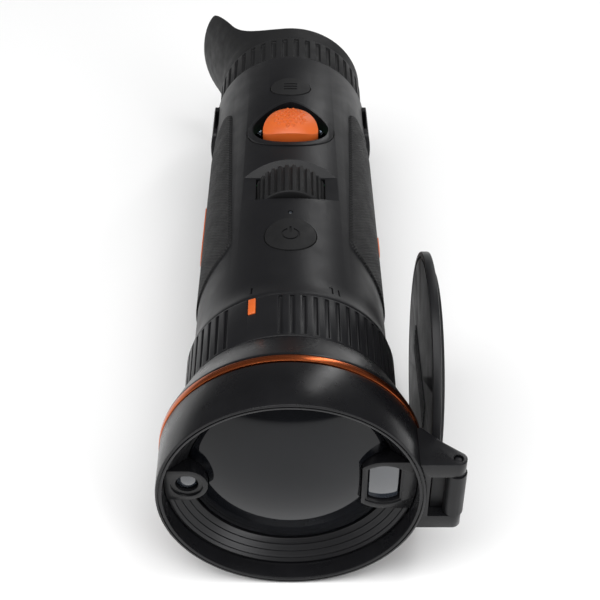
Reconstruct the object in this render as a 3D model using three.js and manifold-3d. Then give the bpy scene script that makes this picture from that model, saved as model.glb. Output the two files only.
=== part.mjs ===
// Handheld thermal-imaging monocular with a laser rangefinder, in millimetres.
// X runs to the lens-cap hinge, Y from the objective's rim to the eyecup, Z up.
// The origin is the centre of the tripod foot's flat face, below the optical axis.

import * as THREE from 'three';
import { mergeVertices } from 'three/addons/utils/BufferGeometryUtils.js';
import Module from 'manifold-3d';

const wasm = await Module();
wasm.setup();

// ---------------------------------------------------------------- driving dimensions

const clearance = 0.3;          // gap between pieces that touch or slide
const bigSides = 36;           // sides of a large round piece
const cellSides = 24;           // sides of a lens or lens cell
const smallSides = 12;          // sides of a small round piece

// Front hood
const hoodRadius = 38;
const hoodLength = 16.3;        // rim to trim ring
const hoodWall = 2;
const hoodFloorDepth = 14.4;    // rim to the floor that carries the objective lens
const hoodFloorThickness = 2.6;
const trimWidth = 3;
const trimSeatDepth = 1.1;
const trimProud = 0.2;
const coneLength = 13.6;

// Objective
const lensRadius = 30.2;
const lensLip = 0.7;
const lensRimThickness = 2.5;
const lensDome = 7.3;
const baffleFrontInset = 5.5;   // rim to the baffle's front edge
const baffleInnerDrop = 4.5;    // baffle's inner edge, behind its front edge
const baffleSteps = 3;
const baffleStepDepth = 0.5;
const baffleBase = 1.8;         // whole ring behind the notches for the rangefinder tubes
const barrelStep = 3;           // lens's rim to the barrel behind it, across the radius
const barrelWall = 2;
const barrelTail = 10;          // barrel's length inside the housing

// Rangefinder tubes
const emitterInset = 8.6;       // hood's outside to the emitter's axis
const emitterRadius = 6;
const emitterBore = 3.3;
const receiverInset = 11.5;     // hood's outside to the receiver's axis
const receiverRadius = 9.7;
const receiverFlat = 6.3;       // receiver's axis to its flat inner side
const receiverBoreHeight = 15.4;
const receiverBoreWidth = 9.4;
const tubeInset = 5.2;          // rim to the tubes' front faces
const windowInset = 1.6;        // tube's front face to its window
const windowThickness = 2.4;

// Lens cap and its hinge
const capThickness = 2.5;
const capOverhang = 0.2;        // cap's radius beyond the hood's
const capStandOff = 1.9;        // hood's side to the open cap
const capRimGap = 0.4;          // rim to the closed cap
const capArmHalfWidth = 8;
const capSealRadius = 33.5;
const capSealWidth = 1.6;
const armInset = 0.9;           // pin's axis to the arm's front edge
const knuckleRadius = 2.9;
const pinRadius = 1.2;
const earThickness = 5;
const earRadius = 3.3;
const bracketFrontInset = 1;
const bracketLength = 14;
const bracketWeb = 0.6;         // web left between the hood and the ears' window

// Field-of-view ring
const ringRadius = 32;
const ringLength = 18.7;
const gripGrooves = 58;         // groove places around the ring
const grooveWidth = 1.2;
const grooveDepth = 0.6;
const grooveMargin = 1;         // ring's edges to the grooves
const indexGap = 4;             // groove places left smooth around the index
const indexAngle = 20.8;        // degrees from the top, towards -X
const indexWidth = 2.3;
const indexLength = 6.5;
const indexThickness = 1;

// Housing
const bodyRadius = 30.2;        // behind the front collar
const bodyTaper = 1.8;          // radius lost by the rear edge
const collarRise = 1.4;         // front collar above the housing
const collarLength = 10;
const bodyWall = 2.2;
const ringToPower = 30.5;       // spacing of the controls along the top
const powerToWheel = 28.15;
const wheelToJoystick = 33.95;
const joystickToMenu = 25.95;
const menuToRear = 21.65;
const powerToLight = 11.7;
const lightRadius = 0.6;

// Side panels
const panelFront = 76;          // measured from the rim, at mid height
const panelShoulder = 84;
const panelFrontDrop = 6.8;     // housing's top to the panel's front corner, in height
const panelRearDrop = 10.7;
const panelRearNotch = 12;      // panel's rear corner to its rear edge at mid height
const panelDepth = 1;           // recess in the housing
const panelProud = 0.6;
const accentProud = 1;
const accentHeight = 4.4;
const leftAccentLength = 30.8;
const rightAccentLength = 9.1;
const rightAccentInset = 5;     // right accent's front, behind the wheel's front face

// Strap lugs
const lugLength = 20.4;
const lugHalfHeight = 7.4;
const lugDepth = 3.8;
const lugProud = 1.4;
const strapSlotWidth = 1.6;
const strapSlotLength = 12;
const strapSlotInset = 1.3;     // lug's outer face to the slot

// Keys
const powerRadius = 8.1;
const menuHalfLength = 7.2;
const menuHalfWidth = 5.75;
const keyProud = 0.3;
const keyTravel = 0.7;
const keySkirt = 1.1;           // key's flange beyond its cap
const keyBoardThickness = 1;

// Joystick
const bezelHalfWidth = 15.2;
const bezelFrontLength = 15;    // widest place to the front
const bezelRearLength = 14.4;
const bezelShift = 2.4;         // joystick's axis to the bezel's widest place
const bezelPinch = 0.5;         // share of the width lost towards the rear
const bezelWall = 1.9;
const stickHalfWidth = 9.6;
const stickFrontLength = 4.2;
const stickRearLength = 12.3;
const stickPinch = 0.15;
const stickShift = -3;          // joystick's axis to the cap's widest place
const stickProud = 4.4;         // above the housing
const stickHeight = 7.6;
const stickBevel = 1.6;
const stickPivotDrop = 10;      // housing's surface to the tilt axes
const stemRadius = 2.2;
const gimbalRadius = 6;

// Focus wheel and screw
const wheelRadius = 12;
const wheelWidth = 15.1;
const wheelProud = 1.9;
const wheelRibs = 30;
const pocketDepth = 4.6;
const pocketMargin = 1.4;       // wheel's front face to the pocket's front edge
const pocketTail = 5.7;         // wheel's rear face to the pocket's rear edge
const wheelGap = 0.8;           // wheel's ribs to its slot
const screwRadius = 1.9;
const yokePlate = 2.5;

// Optics behind the barrel
const fovCellLength = 7;
const fovTravel = 8;
const fovLensRadius = 17.2;
const focusCellRadius = 15.5;
const focusLensRadius = 11.2;
const focusCellLength = 6;
const focusTravel = 3;          // each way
const guideRadius = 1.2;
const bulkheadThickness = 2.5;
const detectorSize = 24;
const detectorDepth = 8;
const shutterRadius = 6.5;
const shutterPivotX = 16;
const shutterPivotZ = -12;
const shutterSwing = 50;        // degrees between open and shut

// Inside the grip
const boardHalfWidth = 19;
const boardThickness = 1.6;
const batteryRadius = 9.2;
const batteryLength = 65;
const displayWidth = 22;
const displayHeight = 18;
const displayDepth = 3.5;

// Eyepiece
const dioptreStep = 0.7;        // housing's rear edge to the ring, across the radius
const dioptreLength = 16.4;
const dioptreBars = 40;
const barGap = 1.9;
const barDepth = 0.9;
const eyeBarrelStep = 3.8;      // ring's outside to the barrel's
const eyeBarrelWall = 2;
const eyeBarrelTail = 24;       // barrel's length beyond the housing
const eyeCellLength = 12;
const eyeCellTravel = 2;        // each way
const eyeLensRadius = 16.5;
const cupWall = 2;
const cupBandLength = 6.2;
const cupFlareLength = 30.6;
const cupFlareRadius = 36.5;
const cupTipX = -30.5;          // where the wing's edge meets the cup's end

// Foot, tripod bush and port
const footWidth = 24;
const footLength = 46;
const bushRadius = 5.2;
const bushBore = 3.2;
const bushLength = 8;
const bushOffset = 9;           // foot's centre to the bush's axis
const caseScrewOffset = 18;     // foot's centre to each case screw
const caseScrewRadius = 1.4;
const caseScrewHead = 2.8;
const screwSeatDepth = 4;       // foot's face to the seat under the screw's head
const screwHeadHeight = 2.3;
const caseScrewBite = 4;        // screw's end inside the housing's wall
const portInset = 22;           // housing's rear edge to the port
const portWidth = 9;
const portHeight = 3.4;
const portDepth = 7;
const coverLength = 15;
const coverWidth = 14;
const coverThickness = 1.5;

// ---------------------------------------------------------------- radii and places that follow

const barrelRadius = lensRadius - barrelStep;
const bodyRearRadius = bodyRadius - bodyTaper;
const collarRadius = bodyRadius + collarRise;
const dioptreRadius = bodyRearRadius - dioptreStep;
const eyeBarrelRadius = dioptreRadius - eyeBarrelStep;

const trimStart = hoodLength;
const trimEnd = trimStart + trimWidth;
const coneEnd = trimEnd + coneLength;
const ringEnd = coneEnd + ringLength;
const powerY = ringEnd + ringToPower;
const wheelY = powerY + powerToWheel;
const joystickY = wheelY + wheelToJoystick;
const menuY = joystickY + joystickToMenu;
const bodyEnd = menuY + menuToRear;
const bodyStart = ringEnd + clearance;
const dioptreEnd = bodyEnd + dioptreLength;
const cupEnd = dioptreEnd + cupBandLength + cupFlareLength;
const footY = wheelY + 8;
const axisHeight = Math.max(hoodRadius + trimProud, hoodRadius + capOverhang, bodyRadius + bushLength);
const collarEnd = bodyStart + collarLength;

// Radius of the bare housing at a place along the axis
function bodyRadiusAt(y) {
  const share = (y - collarEnd) / (bodyEnd - collarEnd);
  return THREE.MathUtils.lerp(bodyRadius, bodyRearRadius, share);
}

// ---------------------------------------------------------------- solids

const Y_AXIS = new THREE.Vector3(0, 1, 0);

function weld(geometry) {
  const bare = geometry.clone();
  bare.deleteAttribute('normal');
  bare.deleteAttribute('uv');
  const merged = mergeVertices(bare, 1e-4);
  const corners = merged.index.array;
  const kept = [];
  for (let i = 0; i < corners.length; i += 3) {
    const [a, b, c] = [corners[i], corners[i + 1], corners[i + 2]];
    if (a !== b && b !== c && c !== a) kept.push(a, b, c);
  }
  const make = (triangles) => new wasm.Manifold(new wasm.Mesh({
    numProp: 3,
    vertProperties: Float32Array.from(merged.attributes.position.array),
    triVerts: Uint32Array.from(triangles),
  }));
  const solid = make(kept);
  return solid.volume() > 0 ? solid : make(kept.reverse());
}

// A profile of [radius, y] points turned about the Y axis
function turned(profile, sides = bigSides) {
  const points = profile.map(([radius, y]) => new THREE.Vector2(radius, y));
  if (profile[0][0] > 0) points.push(points[0].clone());
  return weld(new THREE.LatheGeometry(points, sides));
}

function tube(inner, outer, from, to, sides = bigSides) {
  return turned([[inner, from], [outer, from], [outer, to], [inner, to]], sides);
}

function block(x, y, z) {
  const [x0, x1] = x;
  const [y0, y1] = y;
  const [z0, z1] = z;
  const box = new THREE.BoxGeometry(x1 - x0, y1 - y0, z1 - z0);
  return weld(box.translate((x0 + x1) / 2, (y0 + y1) / 2, (z0 + z1) / 2));
}

function rod(radius, start, end, sides = smallSides) {
  const from = new THREE.Vector3(...start);
  const along = new THREE.Vector3(...end).sub(from);
  const geometry = new THREE.CylinderGeometry(radius, radius, along.length(), sides);
  geometry.translate(0, along.length() / 2, 0);
  geometry.applyQuaternion(new THREE.Quaternion().setFromUnitVectors(Y_AXIS, along.normalize()));
  return weld(geometry.translate(...start));
}

// An outline in the two other axes' plane, extruded along one axis
function prism(points, axis, from, to) {
  const shape = points instanceof THREE.Shape ? points
    : new THREE.Shape(points.map(([u, v]) => new THREE.Vector2(u, v)));
  const geometry = new THREE.ExtrudeGeometry(shape, { depth: to - from, bevelEnabled: false, curveSegments: 6 });
  if (axis === 'z') geometry.translate(0, 0, from);
  if (axis === 'y') geometry.rotateX(Math.PI / 2).translate(0, to, 0);
  if (axis === 'x') {
    const turn = new THREE.Matrix4().makeBasis(Y_AXIS, new THREE.Vector3(0, 0, 1), new THREE.Vector3(1, 0, 0));
    geometry.applyMatrix4(turn).translate(from, 0, 0);
  }
  return weld(geometry);
}

// The same box at equal angles about the Y axis; angles are degrees from the top, towards +X
function boxesAround(size, radius, y, angles) {
  let all = null;
  for (const angle of angles) {
    const box = new THREE.BoxGeometry(...size).translate(0, y, radius);
    const one = weld(box.rotateY(THREE.MathUtils.degToRad(angle)));
    all = all ? all.add(one) : one;
  }
  return all;
}

function roundedRectangle(halfU, halfV, corner, centreU = 0, centreV = 0) {
  const shape = new THREE.Shape();
  const places = [[1, -1, -90], [1, 1, 0], [-1, 1, 90], [-1, -1, 180]];
  for (const [sideU, sideV, start] of places) {
    const u = centreU + sideU * (halfU - corner);
    const v = centreV + sideV * (halfV - corner);
    const begin = THREE.MathUtils.degToRad(start);
    shape.absarc(u, v, corner, begin, begin + Math.PI / 2, false);
  }
  return shape;
}

// An egg: an ellipse whose widest place lies nearer one end
function teardrop(halfWidth, frontLength, rearLength, pinch, widestY, points = 32) {
  const outline = [];
  for (let i = 0; i < points; i += 1) {
    const angle = (i / points) * Math.PI * 2;
    const rearward = Math.max(Math.sin(angle), 0);
    const across = halfWidth * Math.cos(angle) * (1 - pinch * rearward ** 1.5);
    const length = rearward > 0 ? rearLength : frontLength;
    outline.push([across, widestY + length * Math.sin(angle)]);
  }
  return outline;
}

function bezelOutline(grow) {
  return teardrop(bezelHalfWidth + grow, bezelFrontLength + grow, bezelRearLength + grow,
    bezelPinch, joystickY + bezelShift);
}

function bodySkin(innerDrop, outerRise, from = collarEnd, to = bodyEnd) {
  return turned([
    [bodyRadiusAt(from) - innerDrop, from], [bodyRadiusAt(from) + outerRise, from],
    [bodyRadiusAt(to) + outerRise, to], [bodyRadiusAt(to) - innerDrop, to],
  ]);
}

function bodyCore(rise, from = bodyStart, to = bodyEnd) {
  return turned([
    [0, from], [bodyRadiusAt(from) + rise, from], [bodyRadiusAt(to) + rise, to], [0, to],
  ]);
}

// ---------------------------------------------------------------- finishes

const finish = (color, roughness, metalness) => new THREE.MeshStandardMaterial({ color, roughness, metalness });
const finishes = {
  shell: () => finish(0x1d1d1f, 0.55, 0),
  rubber: () => finish(0x1a1a1c, 0.85, 0),
  orange: () => finish(0xe66928, 0.5, 0),
  trim: () => finish(0xb4552c, 0.3, 0.9),
  germanium: () => finish(0x14161a, 0.05, 0.4),
  glass: () => finish(0x9fb0bc, 0.05, 0),
  steel: () => finish(0xb0b2b4, 0.3, 0.9),
  brass: () => finish(0xb08d3c, 0.35, 0.9),
  aluminium: () => finish(0x3a3b3d, 0.45, 0.7),
  board: () => finish(0x1d5b36, 0.6, 0),
  cell: () => finish(0x2b4a78, 0.5, 0),
};

const opticalAxis = new THREE.Group();
opticalAxis.position.set(0, -footY, axisHeight);

function piece(name, solid, look, parent = opticalAxis) {
  const mesh = solid.getMesh();
  const geometry = new THREE.BufferGeometry();
  geometry.setAttribute('position', new THREE.BufferAttribute(mesh.vertProperties, 3));
  geometry.setIndex(new THREE.BufferAttribute(mesh.triVerts, 1));
  geometry.computeVertexNormals();
  const part = new THREE.Mesh(geometry, finishes[look]());
  part.name = name;
  parent.add(part);
  return part;
}

// ---------------------------------------------------------------- front hood and objective

const hoodBore = hoodRadius - hoodWall;
const trimSeat = hoodRadius - trimSeatDepth;
const floorBack = hoodFloorDepth + hoodFloorThickness;
const lensSeat = lensRadius + clearance;
const barrelSeat = barrelRadius + clearance;

function frontHood() {
  return turned([
    [hoodBore, 0], [hoodRadius - 0.4, 0], [hoodRadius, 0.4],
    [hoodRadius, trimStart], [trimSeat, trimStart], [trimSeat, trimEnd], [hoodRadius, trimEnd],
    [ringRadius + 0.4, coneEnd], [barrelSeat, coneEnd], [barrelSeat, floorBack],
    [lensSeat, floorBack], [lensSeat, hoodFloorDepth], [hoodBore, hoodFloorDepth],
  ]);
}

function trimRing() {
  return tube(trimSeat + clearance, hoodRadius + trimProud, trimStart + clearance, trimEnd - clearance);
}

const emitterX = -(hoodRadius - emitterInset);
const receiverX = hoodRadius - receiverInset;

function emitterOutline(grow) {
  const radius = emitterRadius + grow;
  const shape = new THREE.Shape();
  shape.moveTo(-hoodRadius, radius);
  shape.lineTo(-hoodRadius, -radius);
  shape.absarc(emitterX, 0, radius, -Math.PI / 2, Math.PI / 2, false);
  return shape;
}

function receiverOutline(grow) {
  const radius = receiverRadius + grow;
  const flat = receiverX - receiverFlat - grow;
  const corner = Math.sqrt(radius ** 2 - (receiverFlat + grow) ** 2);
  const shape = new THREE.Shape();
  shape.moveTo(hoodRadius, -radius);
  shape.lineTo(hoodRadius, radius);
  shape.lineTo(receiverX, radius);
  shape.absarc(receiverX, 0, radius, Math.PI / 2, Math.PI - Math.asin(corner / radius), false);
  shape.lineTo(flat, -corner);
  shape.absarc(receiverX, 0, radius, Math.PI + Math.asin(corner / radius), Math.PI * 1.5, false);
  return shape;
}

const tubeBack = hoodFloorDepth - clearance - baffleBase - clearance;
const hoodSpace = turned([[0, 0], [hoodBore - clearance, 0], [hoodBore - clearance, tubeBack], [0, tubeBack]]);

function emitterTube() {
  const outside = prism(emitterOutline(0), 'y', tubeInset, tubeBack).intersect(hoodSpace);
  return outside.subtract(rod(emitterBore, [emitterX, 0, 0], [emitterX, hoodFloorDepth, 0]));
}

function receiverBore(shrink) {
  const round = rod(receiverBoreHeight / 2 - shrink, [receiverX, 0, 0], [receiverX, hoodFloorDepth, 0]);
  const half = receiverBoreWidth / 2 - shrink;
  return round.intersect(block([receiverX - half, receiverX + half], [0, hoodFloorDepth], [-hoodRadius, hoodRadius]));
}

function receiverTube() {
  const outside = prism(receiverOutline(0), 'y', tubeInset, tubeBack).intersect(hoodSpace);
  return outside.subtract(receiverBore(0));
}

const windowStart = tubeInset + windowInset;

function emitterLens() {
  return rod(emitterBore - clearance, [emitterX, windowStart, 0], [emitterX, windowStart + windowThickness, 0]);
}

function receiverLens() {
  return receiverBore(clearance).intersect(
    block([0, hoodRadius], [windowStart, windowStart + windowThickness], [-hoodRadius, hoodRadius]));
}

const tubeSpace = prism(emitterOutline(clearance), 'y', 0, tubeBack + clearance)
  .add(prism(receiverOutline(clearance), 'y', 0, tubeBack + clearance));
const lensFace = lensRadius - lensLip;
const baffleBack = hoodFloorDepth - clearance;
const baffleEdge = baffleFrontInset + baffleInnerDrop;

function baffleRing() {
  const outer = hoodBore - clearance;
  const inner = lensFace + clearance;
  const profile = [[outer, baffleFrontInset]];
  const start = outer - 0.8;
  for (let step = 0; step < baffleSteps; step += 1) {
    const share = (step + 0.5) / baffleSteps;
    const next = (step + 1) / baffleSteps;
    const radius = THREE.MathUtils.lerp(start, inner, share);
    const y = THREE.MathUtils.lerp(baffleFrontInset, baffleEdge, share);
    profile.push([radius, y], [radius, y + baffleStepDepth]);
    profile.push([THREE.MathUtils.lerp(start, inner, next), THREE.MathUtils.lerp(baffleFrontInset, baffleEdge, next)]);
  }
  profile.splice(1, 0, [start, baffleFrontInset]);
  profile.push([inner, baffleBack], [outer, baffleBack]);
  return turned(profile).subtract(tubeSpace);
}

function domeProfile(radius, edgeY, height, steps = 5) {
  const sphere = (radius ** 2 + height ** 2) / (2 * height);
  const half = Math.asin(radius / sphere);
  const profile = [];
  for (let i = 0; i <= steps; i += 1) {
    const angle = (half * i) / steps;
    profile.push([sphere * Math.sin(angle), edgeY - height + sphere * (1 - Math.cos(angle))]);
  }
  return profile;
}

function objectiveLens() {
  const back = hoodFloorDepth + lensRimThickness;
  const front = domeProfile(lensFace, baffleEdge + clearance, lensDome);
  const hollow = domeProfile(barrelRadius - barrelWall, back, lensDome * 0.5, 2).reverse();
  return turned([
    ...front, [lensFace, hoodFloorDepth], [lensRadius, hoodFloorDepth], [lensRadius, back], ...hollow,
  ]).subtract(tubeSpace);
}

function objectiveBarrel() {
  return tube(barrelRadius - barrelWall, barrelRadius, floorBack + clearance, bodyStart + barrelTail);
}

piece('front_hood', frontHood(), 'shell');
piece('trim_ring', trimRing(), 'trim');
piece('emitter_tube', emitterTube(), 'shell');
piece('emitter_lens', emitterLens(), 'glass');
piece('receiver_tube', receiverTube(), 'shell');
piece('receiver_lens', receiverLens(), 'glass');
piece('baffle_ring', baffleRing(), 'aluminium');
piece('objective_lens', objectiveLens(), 'germanium');
piece('objective_barrel', objectiveBarrel(), 'aluminium');

// ---------------------------------------------------------------- lens cap and hinge

// Turned by three quarters about the pin, the cap's inner face comes just ahead of the rim
const capInnerX = hoodRadius + capStandOff + capThickness;
const pinY = earRadius + bracketFrontInset - 0.8;
const pinX = capInnerX + capRimGap + pinY;
const capRadius = hoodRadius + capOverhang;
const capReach = pinX;          // pin to the cap's centre
const earHalf = capArmHalfWidth + clearance + earThickness;

const hinge = new THREE.Group();
hinge.position.set(pinX, pinY, 0);
opticalAxis.add(hinge);

function hingeBracket() {
  const rear = bracketFrontInset + bracketLength;
  const root = hoodRadius - 5;
  const shape = new THREE.Shape();
  shape.moveTo(root, rear);
  shape.lineTo(root, bracketFrontInset);
  shape.absarc(pinX, pinY, pinY - bracketFrontInset, -Math.PI / 2, Math.PI / 4, false);
  shape.lineTo(hoodRadius + 4.2, bracketFrontInset + bracketLength * 0.63);
  shape.lineTo(hoodRadius - 1, rear);
  const outline = prism(shape, 'z', -earHalf, earHalf);
  const window = block([hoodRadius + clearance + bracketWeb, pinX + 20], [-20, rear + 20],
    [-capArmHalfWidth - clearance, capArmHalfWidth + clearance]);
  const hood = rod(hoodRadius + clearance, [0, -20, 0], [0, rear + 20, 0], bigSides);
  const bore = rod(pinRadius + clearance, [pinX, pinY, -earHalf - 1], [pinX, pinY, earHalf + 1]);
  return outline.subtract(window).subtract(hood).subtract(bore);
}

function lensCap() {
  const inner = capInnerX - pinX;
  const outer = inner - capThickness;
  const disc = rod(capRadius, [outer, capReach, 0], [inner, capReach, 0], bigSides);
  const arm = block([outer, inner], [armInset, capReach / 2], [-capArmHalfWidth, capArmHalfWidth]);
  const neck = block([outer, 0], [armInset, knuckleRadius], [-capArmHalfWidth, capArmHalfWidth]);
  const knuckle = rod(knuckleRadius, [0, 0, -capArmHalfWidth], [0, 0, capArmHalfWidth]);
  const bore = rod(pinRadius + clearance, [0, 0, -earHalf], [0, 0, earHalf]);
  return disc.add(arm).add(neck).add(knuckle).subtract(bore).subtract(sealGroove());
}

// The closed cap's inner face carries a soft ring that meets the rim inside the hood's bore
function sealGroove() {
  const face = capInnerX - pinX;
  const outer = rod(capSealRadius + clearance, [face - 1.1, capReach, 0], [face + 5, capReach, 0], bigSides);
  const inner = rod(capSealRadius - capSealWidth - clearance, [face - 2, capReach, 0], [face + 6, capReach, 0], bigSides);
  return outer.subtract(inner);
}

function capSeal() {
  const face = capInnerX - pinX;
  const outer = rod(capSealRadius, [face - 0.8, capReach, 0], [face + 1.4, capReach, 0], bigSides);
  const inner = rod(capSealRadius - capSealWidth, [face - 2, capReach, 0], [face + 6, capReach, 0], bigSides);
  return outer.subtract(inner);
}

piece('hinge_bracket', hingeBracket(), 'shell');
piece('hinge_pin', rod(pinRadius, [0, 0, -earHalf + 0.5], [0, 0, earHalf - 0.5]), 'steel', hinge);
piece('lens_cap', lensCap(), 'shell', hinge);
piece('cap_seal', capSeal(), 'rubber', hinge);

// ---------------------------------------------------------------- field-of-view ring

const ringStart = coneEnd + clearance;
const groovePitch = 360 / gripGrooves;

function grooveAngles() {
  const angles = [];
  for (let place = 0; place < gripGrooves; place += 1) {
    const near = Math.min(place, gripGrooves - 1 - place);
    if (near >= indexGap / 2 - 0.5) angles.push(-indexAngle + (place + 0.5) * groovePitch);
  }
  return angles;
}

const indexBack = ringEnd - 0.4;
const indexY = indexBack - indexLength / 2;

function fovRing() {
  const blank = turned([
    [barrelSeat, ringStart], [ringRadius - 0.3, ringStart], [ringRadius, ringStart + 0.3],
    [ringRadius, ringEnd - 0.3], [ringRadius - 0.3, ringEnd], [barrelSeat, ringEnd],
  ], gripGrooves);
  const grooveLength = ringLength - 2 * grooveMargin;
  const grooves = boxesAround([grooveWidth, grooveLength, 4], ringRadius + 2 - grooveDepth,
    (coneEnd + ringEnd) / 2, grooveAngles());
  const seat = boxesAround([indexWidth + 2 * clearance, indexLength + 2 * clearance, 4],
    ringRadius + 2 - indexThickness, indexY, [-indexAngle]);
  return blank.subtract(grooves).subtract(seat);
}

function fovIndex() {
  const height = indexThickness - clearance + 0.2;
  return boxesAround([indexWidth, indexLength, height],
    ringRadius - indexThickness + clearance + height / 2, indexY, [-indexAngle]);
}

const fovCellRadius = barrelRadius - barrelWall - clearance;
const fovCellStart = coneEnd + 1.2;

function fovLensCell() {
  const end = fovCellStart + fovCellLength;
  return turned([
    [fovLensRadius - 0.8, fovCellStart], [fovCellRadius, fovCellStart], [fovCellRadius, end],
    [fovLensRadius + clearance, end], [fovLensRadius + clearance, fovCellStart + 1],
    [fovLensRadius - 0.8, fovCellStart + 1],
  ], cellSides);
}

function biconvex(radius, front, edge, bulge, sides = cellSides) {
  const near = domeProfile(radius, front + bulge, bulge, 3);
  const far = domeProfile(radius, 0, bulge, 3).reverse().map(([r, y]) => [r, front + bulge + edge - y]);
  return turned([...near, ...far], sides);
}

piece('fov_ring', fovRing(), 'shell');
piece('fov_index', fovIndex(), 'orange');
piece('fov_lens_cell', fovLensCell(), 'aluminium');
piece('fov_lens', biconvex(fovLensRadius, fovCellStart + 1 + clearance, 2, 1), 'germanium');

// ---------------------------------------------------------------- housing

const boreRadius = barrelRadius + clearance;
const wheelFront = wheelY - wheelWidth / 2;
const wheelRear = wheelY + wheelWidth / 2;
const wheelTop = bodyRadiusAt(wheelY) + wheelProud;
const wheelZ = wheelTop - wheelRadius;
const pocketFloor = bodyRadiusAt(wheelY) - pocketDepth;
const pocketFront = wheelFront - pocketMargin;
const pocketRear = wheelRear + pocketTail;
const lugEnd = bodyEnd - 0.6;
const lugStart = lugEnd - lugLength;
const portY = bodyEnd - portInset;
const coverFront = portY - coverLength / 2;
const coverRear = portY + coverLength / 2;
const coverFloor = -(bodyRearRadius - 2);

// Every edge of a clockwise outline moved inwards by the same distance
function insetOutline(points, distance) {
  const edgeNormal = (a, b) => new THREE.Vector2(b[1] - a[1], a[0] - b[0]).normalize();
  return points.map((point, i) => {
    const before = edgeNormal(points[(i + points.length - 1) % points.length], point);
    const after = edgeNormal(point, points[(i + 1) % points.length]);
    const corner = before.clone().add(after).normalize();
    const reach = distance / corner.dot(before);
    return [point[0] + corner.x * reach, point[1] + corner.y * reach];
  });
}

function panelOutline(inset) {
  const rear = menuY - 1.6;
  const top = bodyRadius - panelFrontDrop;
  const rearTop = bodyRadius - panelRearDrop;
  const half = [
    [panelFront, 8], [panelShoulder - 5, 16], [panelShoulder - 1.5, top - 2],
    [panelShoulder + 2, top], [rear - 4, rearTop], [rear - 1, rearTop - 1.2],
    [rear, rearTop - 4], [rear - panelRearNotch, 6],
  ];
  const mirrored = half.map(([y, z]) => [y, -z]).reverse();
  return insetOutline([...half, ...mirrored], inset);
}

function accentOutline(side, grow) {
  const length = side < 0 ? leftAccentLength : rightAccentLength;
  const start = wheelFront + (side < 0 ? 0 : rightAccentInset);
  return roundedRectangle(length / 2 + grow, accentHeight / 2 + grow, accentHeight / 2 + grow - 0.01,
    start + length / 2, 0);
}

function sideCut(outline, side, skin) {
  const [from, to] = side < 0 ? [-60, -8] : [8, 60];
  return prism(outline, 'x', from, to).intersect(skin);
}

// Both shells, before they are split at mid height
function housingBlank() {
  const outside = [
    [collarRadius, bodyStart], [collarRadius - 0.6, bodyStart + 1.6],
    [bodyRadius + 0.3, bodyStart + 5], [bodyRadius, collarEnd], [bodyRearRadius, bodyEnd],
  ];
  const inside = [
    [bodyRearRadius - bodyWall, bodyEnd], [bodyRadius - bodyWall, collarEnd + 2],
    [boreRadius, collarEnd + clearance], [boreRadius, bodyStart],
  ];
  let blank = turned([...outside, ...inside]);
  for (const side of [-1, 1]) {
    blank = blank.subtract(sideCut(panelOutline(0), side, bodySkin(panelDepth, 3)));
    const slotX = side * (bodyRadiusAt(lugStart) + lugProud - strapSlotInset);
    const slot = [slotX, slotX - side * strapSlotWidth].sort((a, b) => a - b);
    const middle = (lugStart + lugEnd) / 2;
    blank = blank.subtract(block(slot, [middle - strapSlotLength / 2, middle + strapSlotLength / 2], [-13, 13]));
    const window = side < 0 ? [-60, -15] : [15, 60];
    const half = lugHalfHeight + clearance;
    blank = blank.subtract(block(window, [lugStart - clearance, lugEnd + clearance], [-half, half]));
  }
  return blank;
}

function pocketBoss() {
  const wide = Math.sqrt(bodyRadiusAt(wheelY) ** 2 - pocketFloor ** 2) + 1.4;
  const raw = block([-wide, wide], [pocketFront - 2, pocketRear + 2], [pocketFloor - bodyWall, wheelTop]);
  return raw.intersect(bodyCore(0));
}

function pocketCut() {
  const high = bodyRadius + 6;
  const rise = high - pocketFloor;
  return prism([
    [pocketFront + pocketDepth, pocketFloor], [pocketFront + pocketDepth - rise, high],
    [pocketRear - pocketDepth + rise, high], [pocketRear - pocketDepth, pocketFloor],
  ], 'x', -60, 60);
}

function verticalHole(outline, from, to) {
  return prism(outline, 'z', from, to);
}

function ellipse(halfX, halfY, centreY, points = 24) {
  const outline = [];
  for (let i = 0; i < points; i += 1) {
    const angle = (i / points) * Math.PI * 2;
    outline.push([halfX * Math.cos(angle), centreY + halfY * Math.sin(angle)]);
  }
  return outline;
}

function upperHousing() {
  let shell = housingBlank().intersect(block([-60, 60], [0, cupEnd], [clearance / 2, 60]));
  shell = shell.add(pocketBoss()).subtract(pocketCut());
  shell = shell.subtract(rod(wheelRadius + wheelGap, [0, wheelFront - clearance, wheelZ],
    [0, wheelRear + clearance, wheelZ], 30));
  const grow = clearance;
  const holes = [
    ellipse(powerRadius + grow, powerRadius + grow, powerY),
    ellipse(menuHalfLength + grow, menuHalfWidth + grow, menuY),
    bezelOutline(grow),
    ellipse(lightRadius + grow, lightRadius + grow, powerY + powerToLight, 12),
  ];
  for (const outline of holes) shell = shell.subtract(verticalHole(outline, 10, 60));
  return shell;
}

const footBottom = -axisHeight;

function lowerHousing() {
  let shell = housingBlank().intersect(block([-60, 60], [0, cupEnd], [-60, -clearance / 2]));
  const boss = block([-coverWidth / 2 - 2, coverWidth / 2 + 2], [coverFront - 2, coverRear + 2], [-60, coverFloor + 3])
    .intersect(bodyCore(0));
  shell = shell.add(boss);
  shell = shell.subtract(block([-coverWidth / 2 - clearance, coverWidth / 2 + clearance],
    [coverFront - 3, coverRear + clearance], [-60, coverFloor]));
  shell = shell.subtract(block([-portWidth / 2 - clearance, portWidth / 2 + clearance],
    [portY - portHeight / 2 - clearance, portY + portHeight / 2 + clearance], [-60, 0]));
  for (const offset of [-caseScrewOffset, caseScrewOffset]) {
    shell = shell.subtract(rod(caseScrewRadius + clearance, [0, footY + offset, -60], [0, footY + offset, -20]));
  }
  return shell;
}

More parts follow.
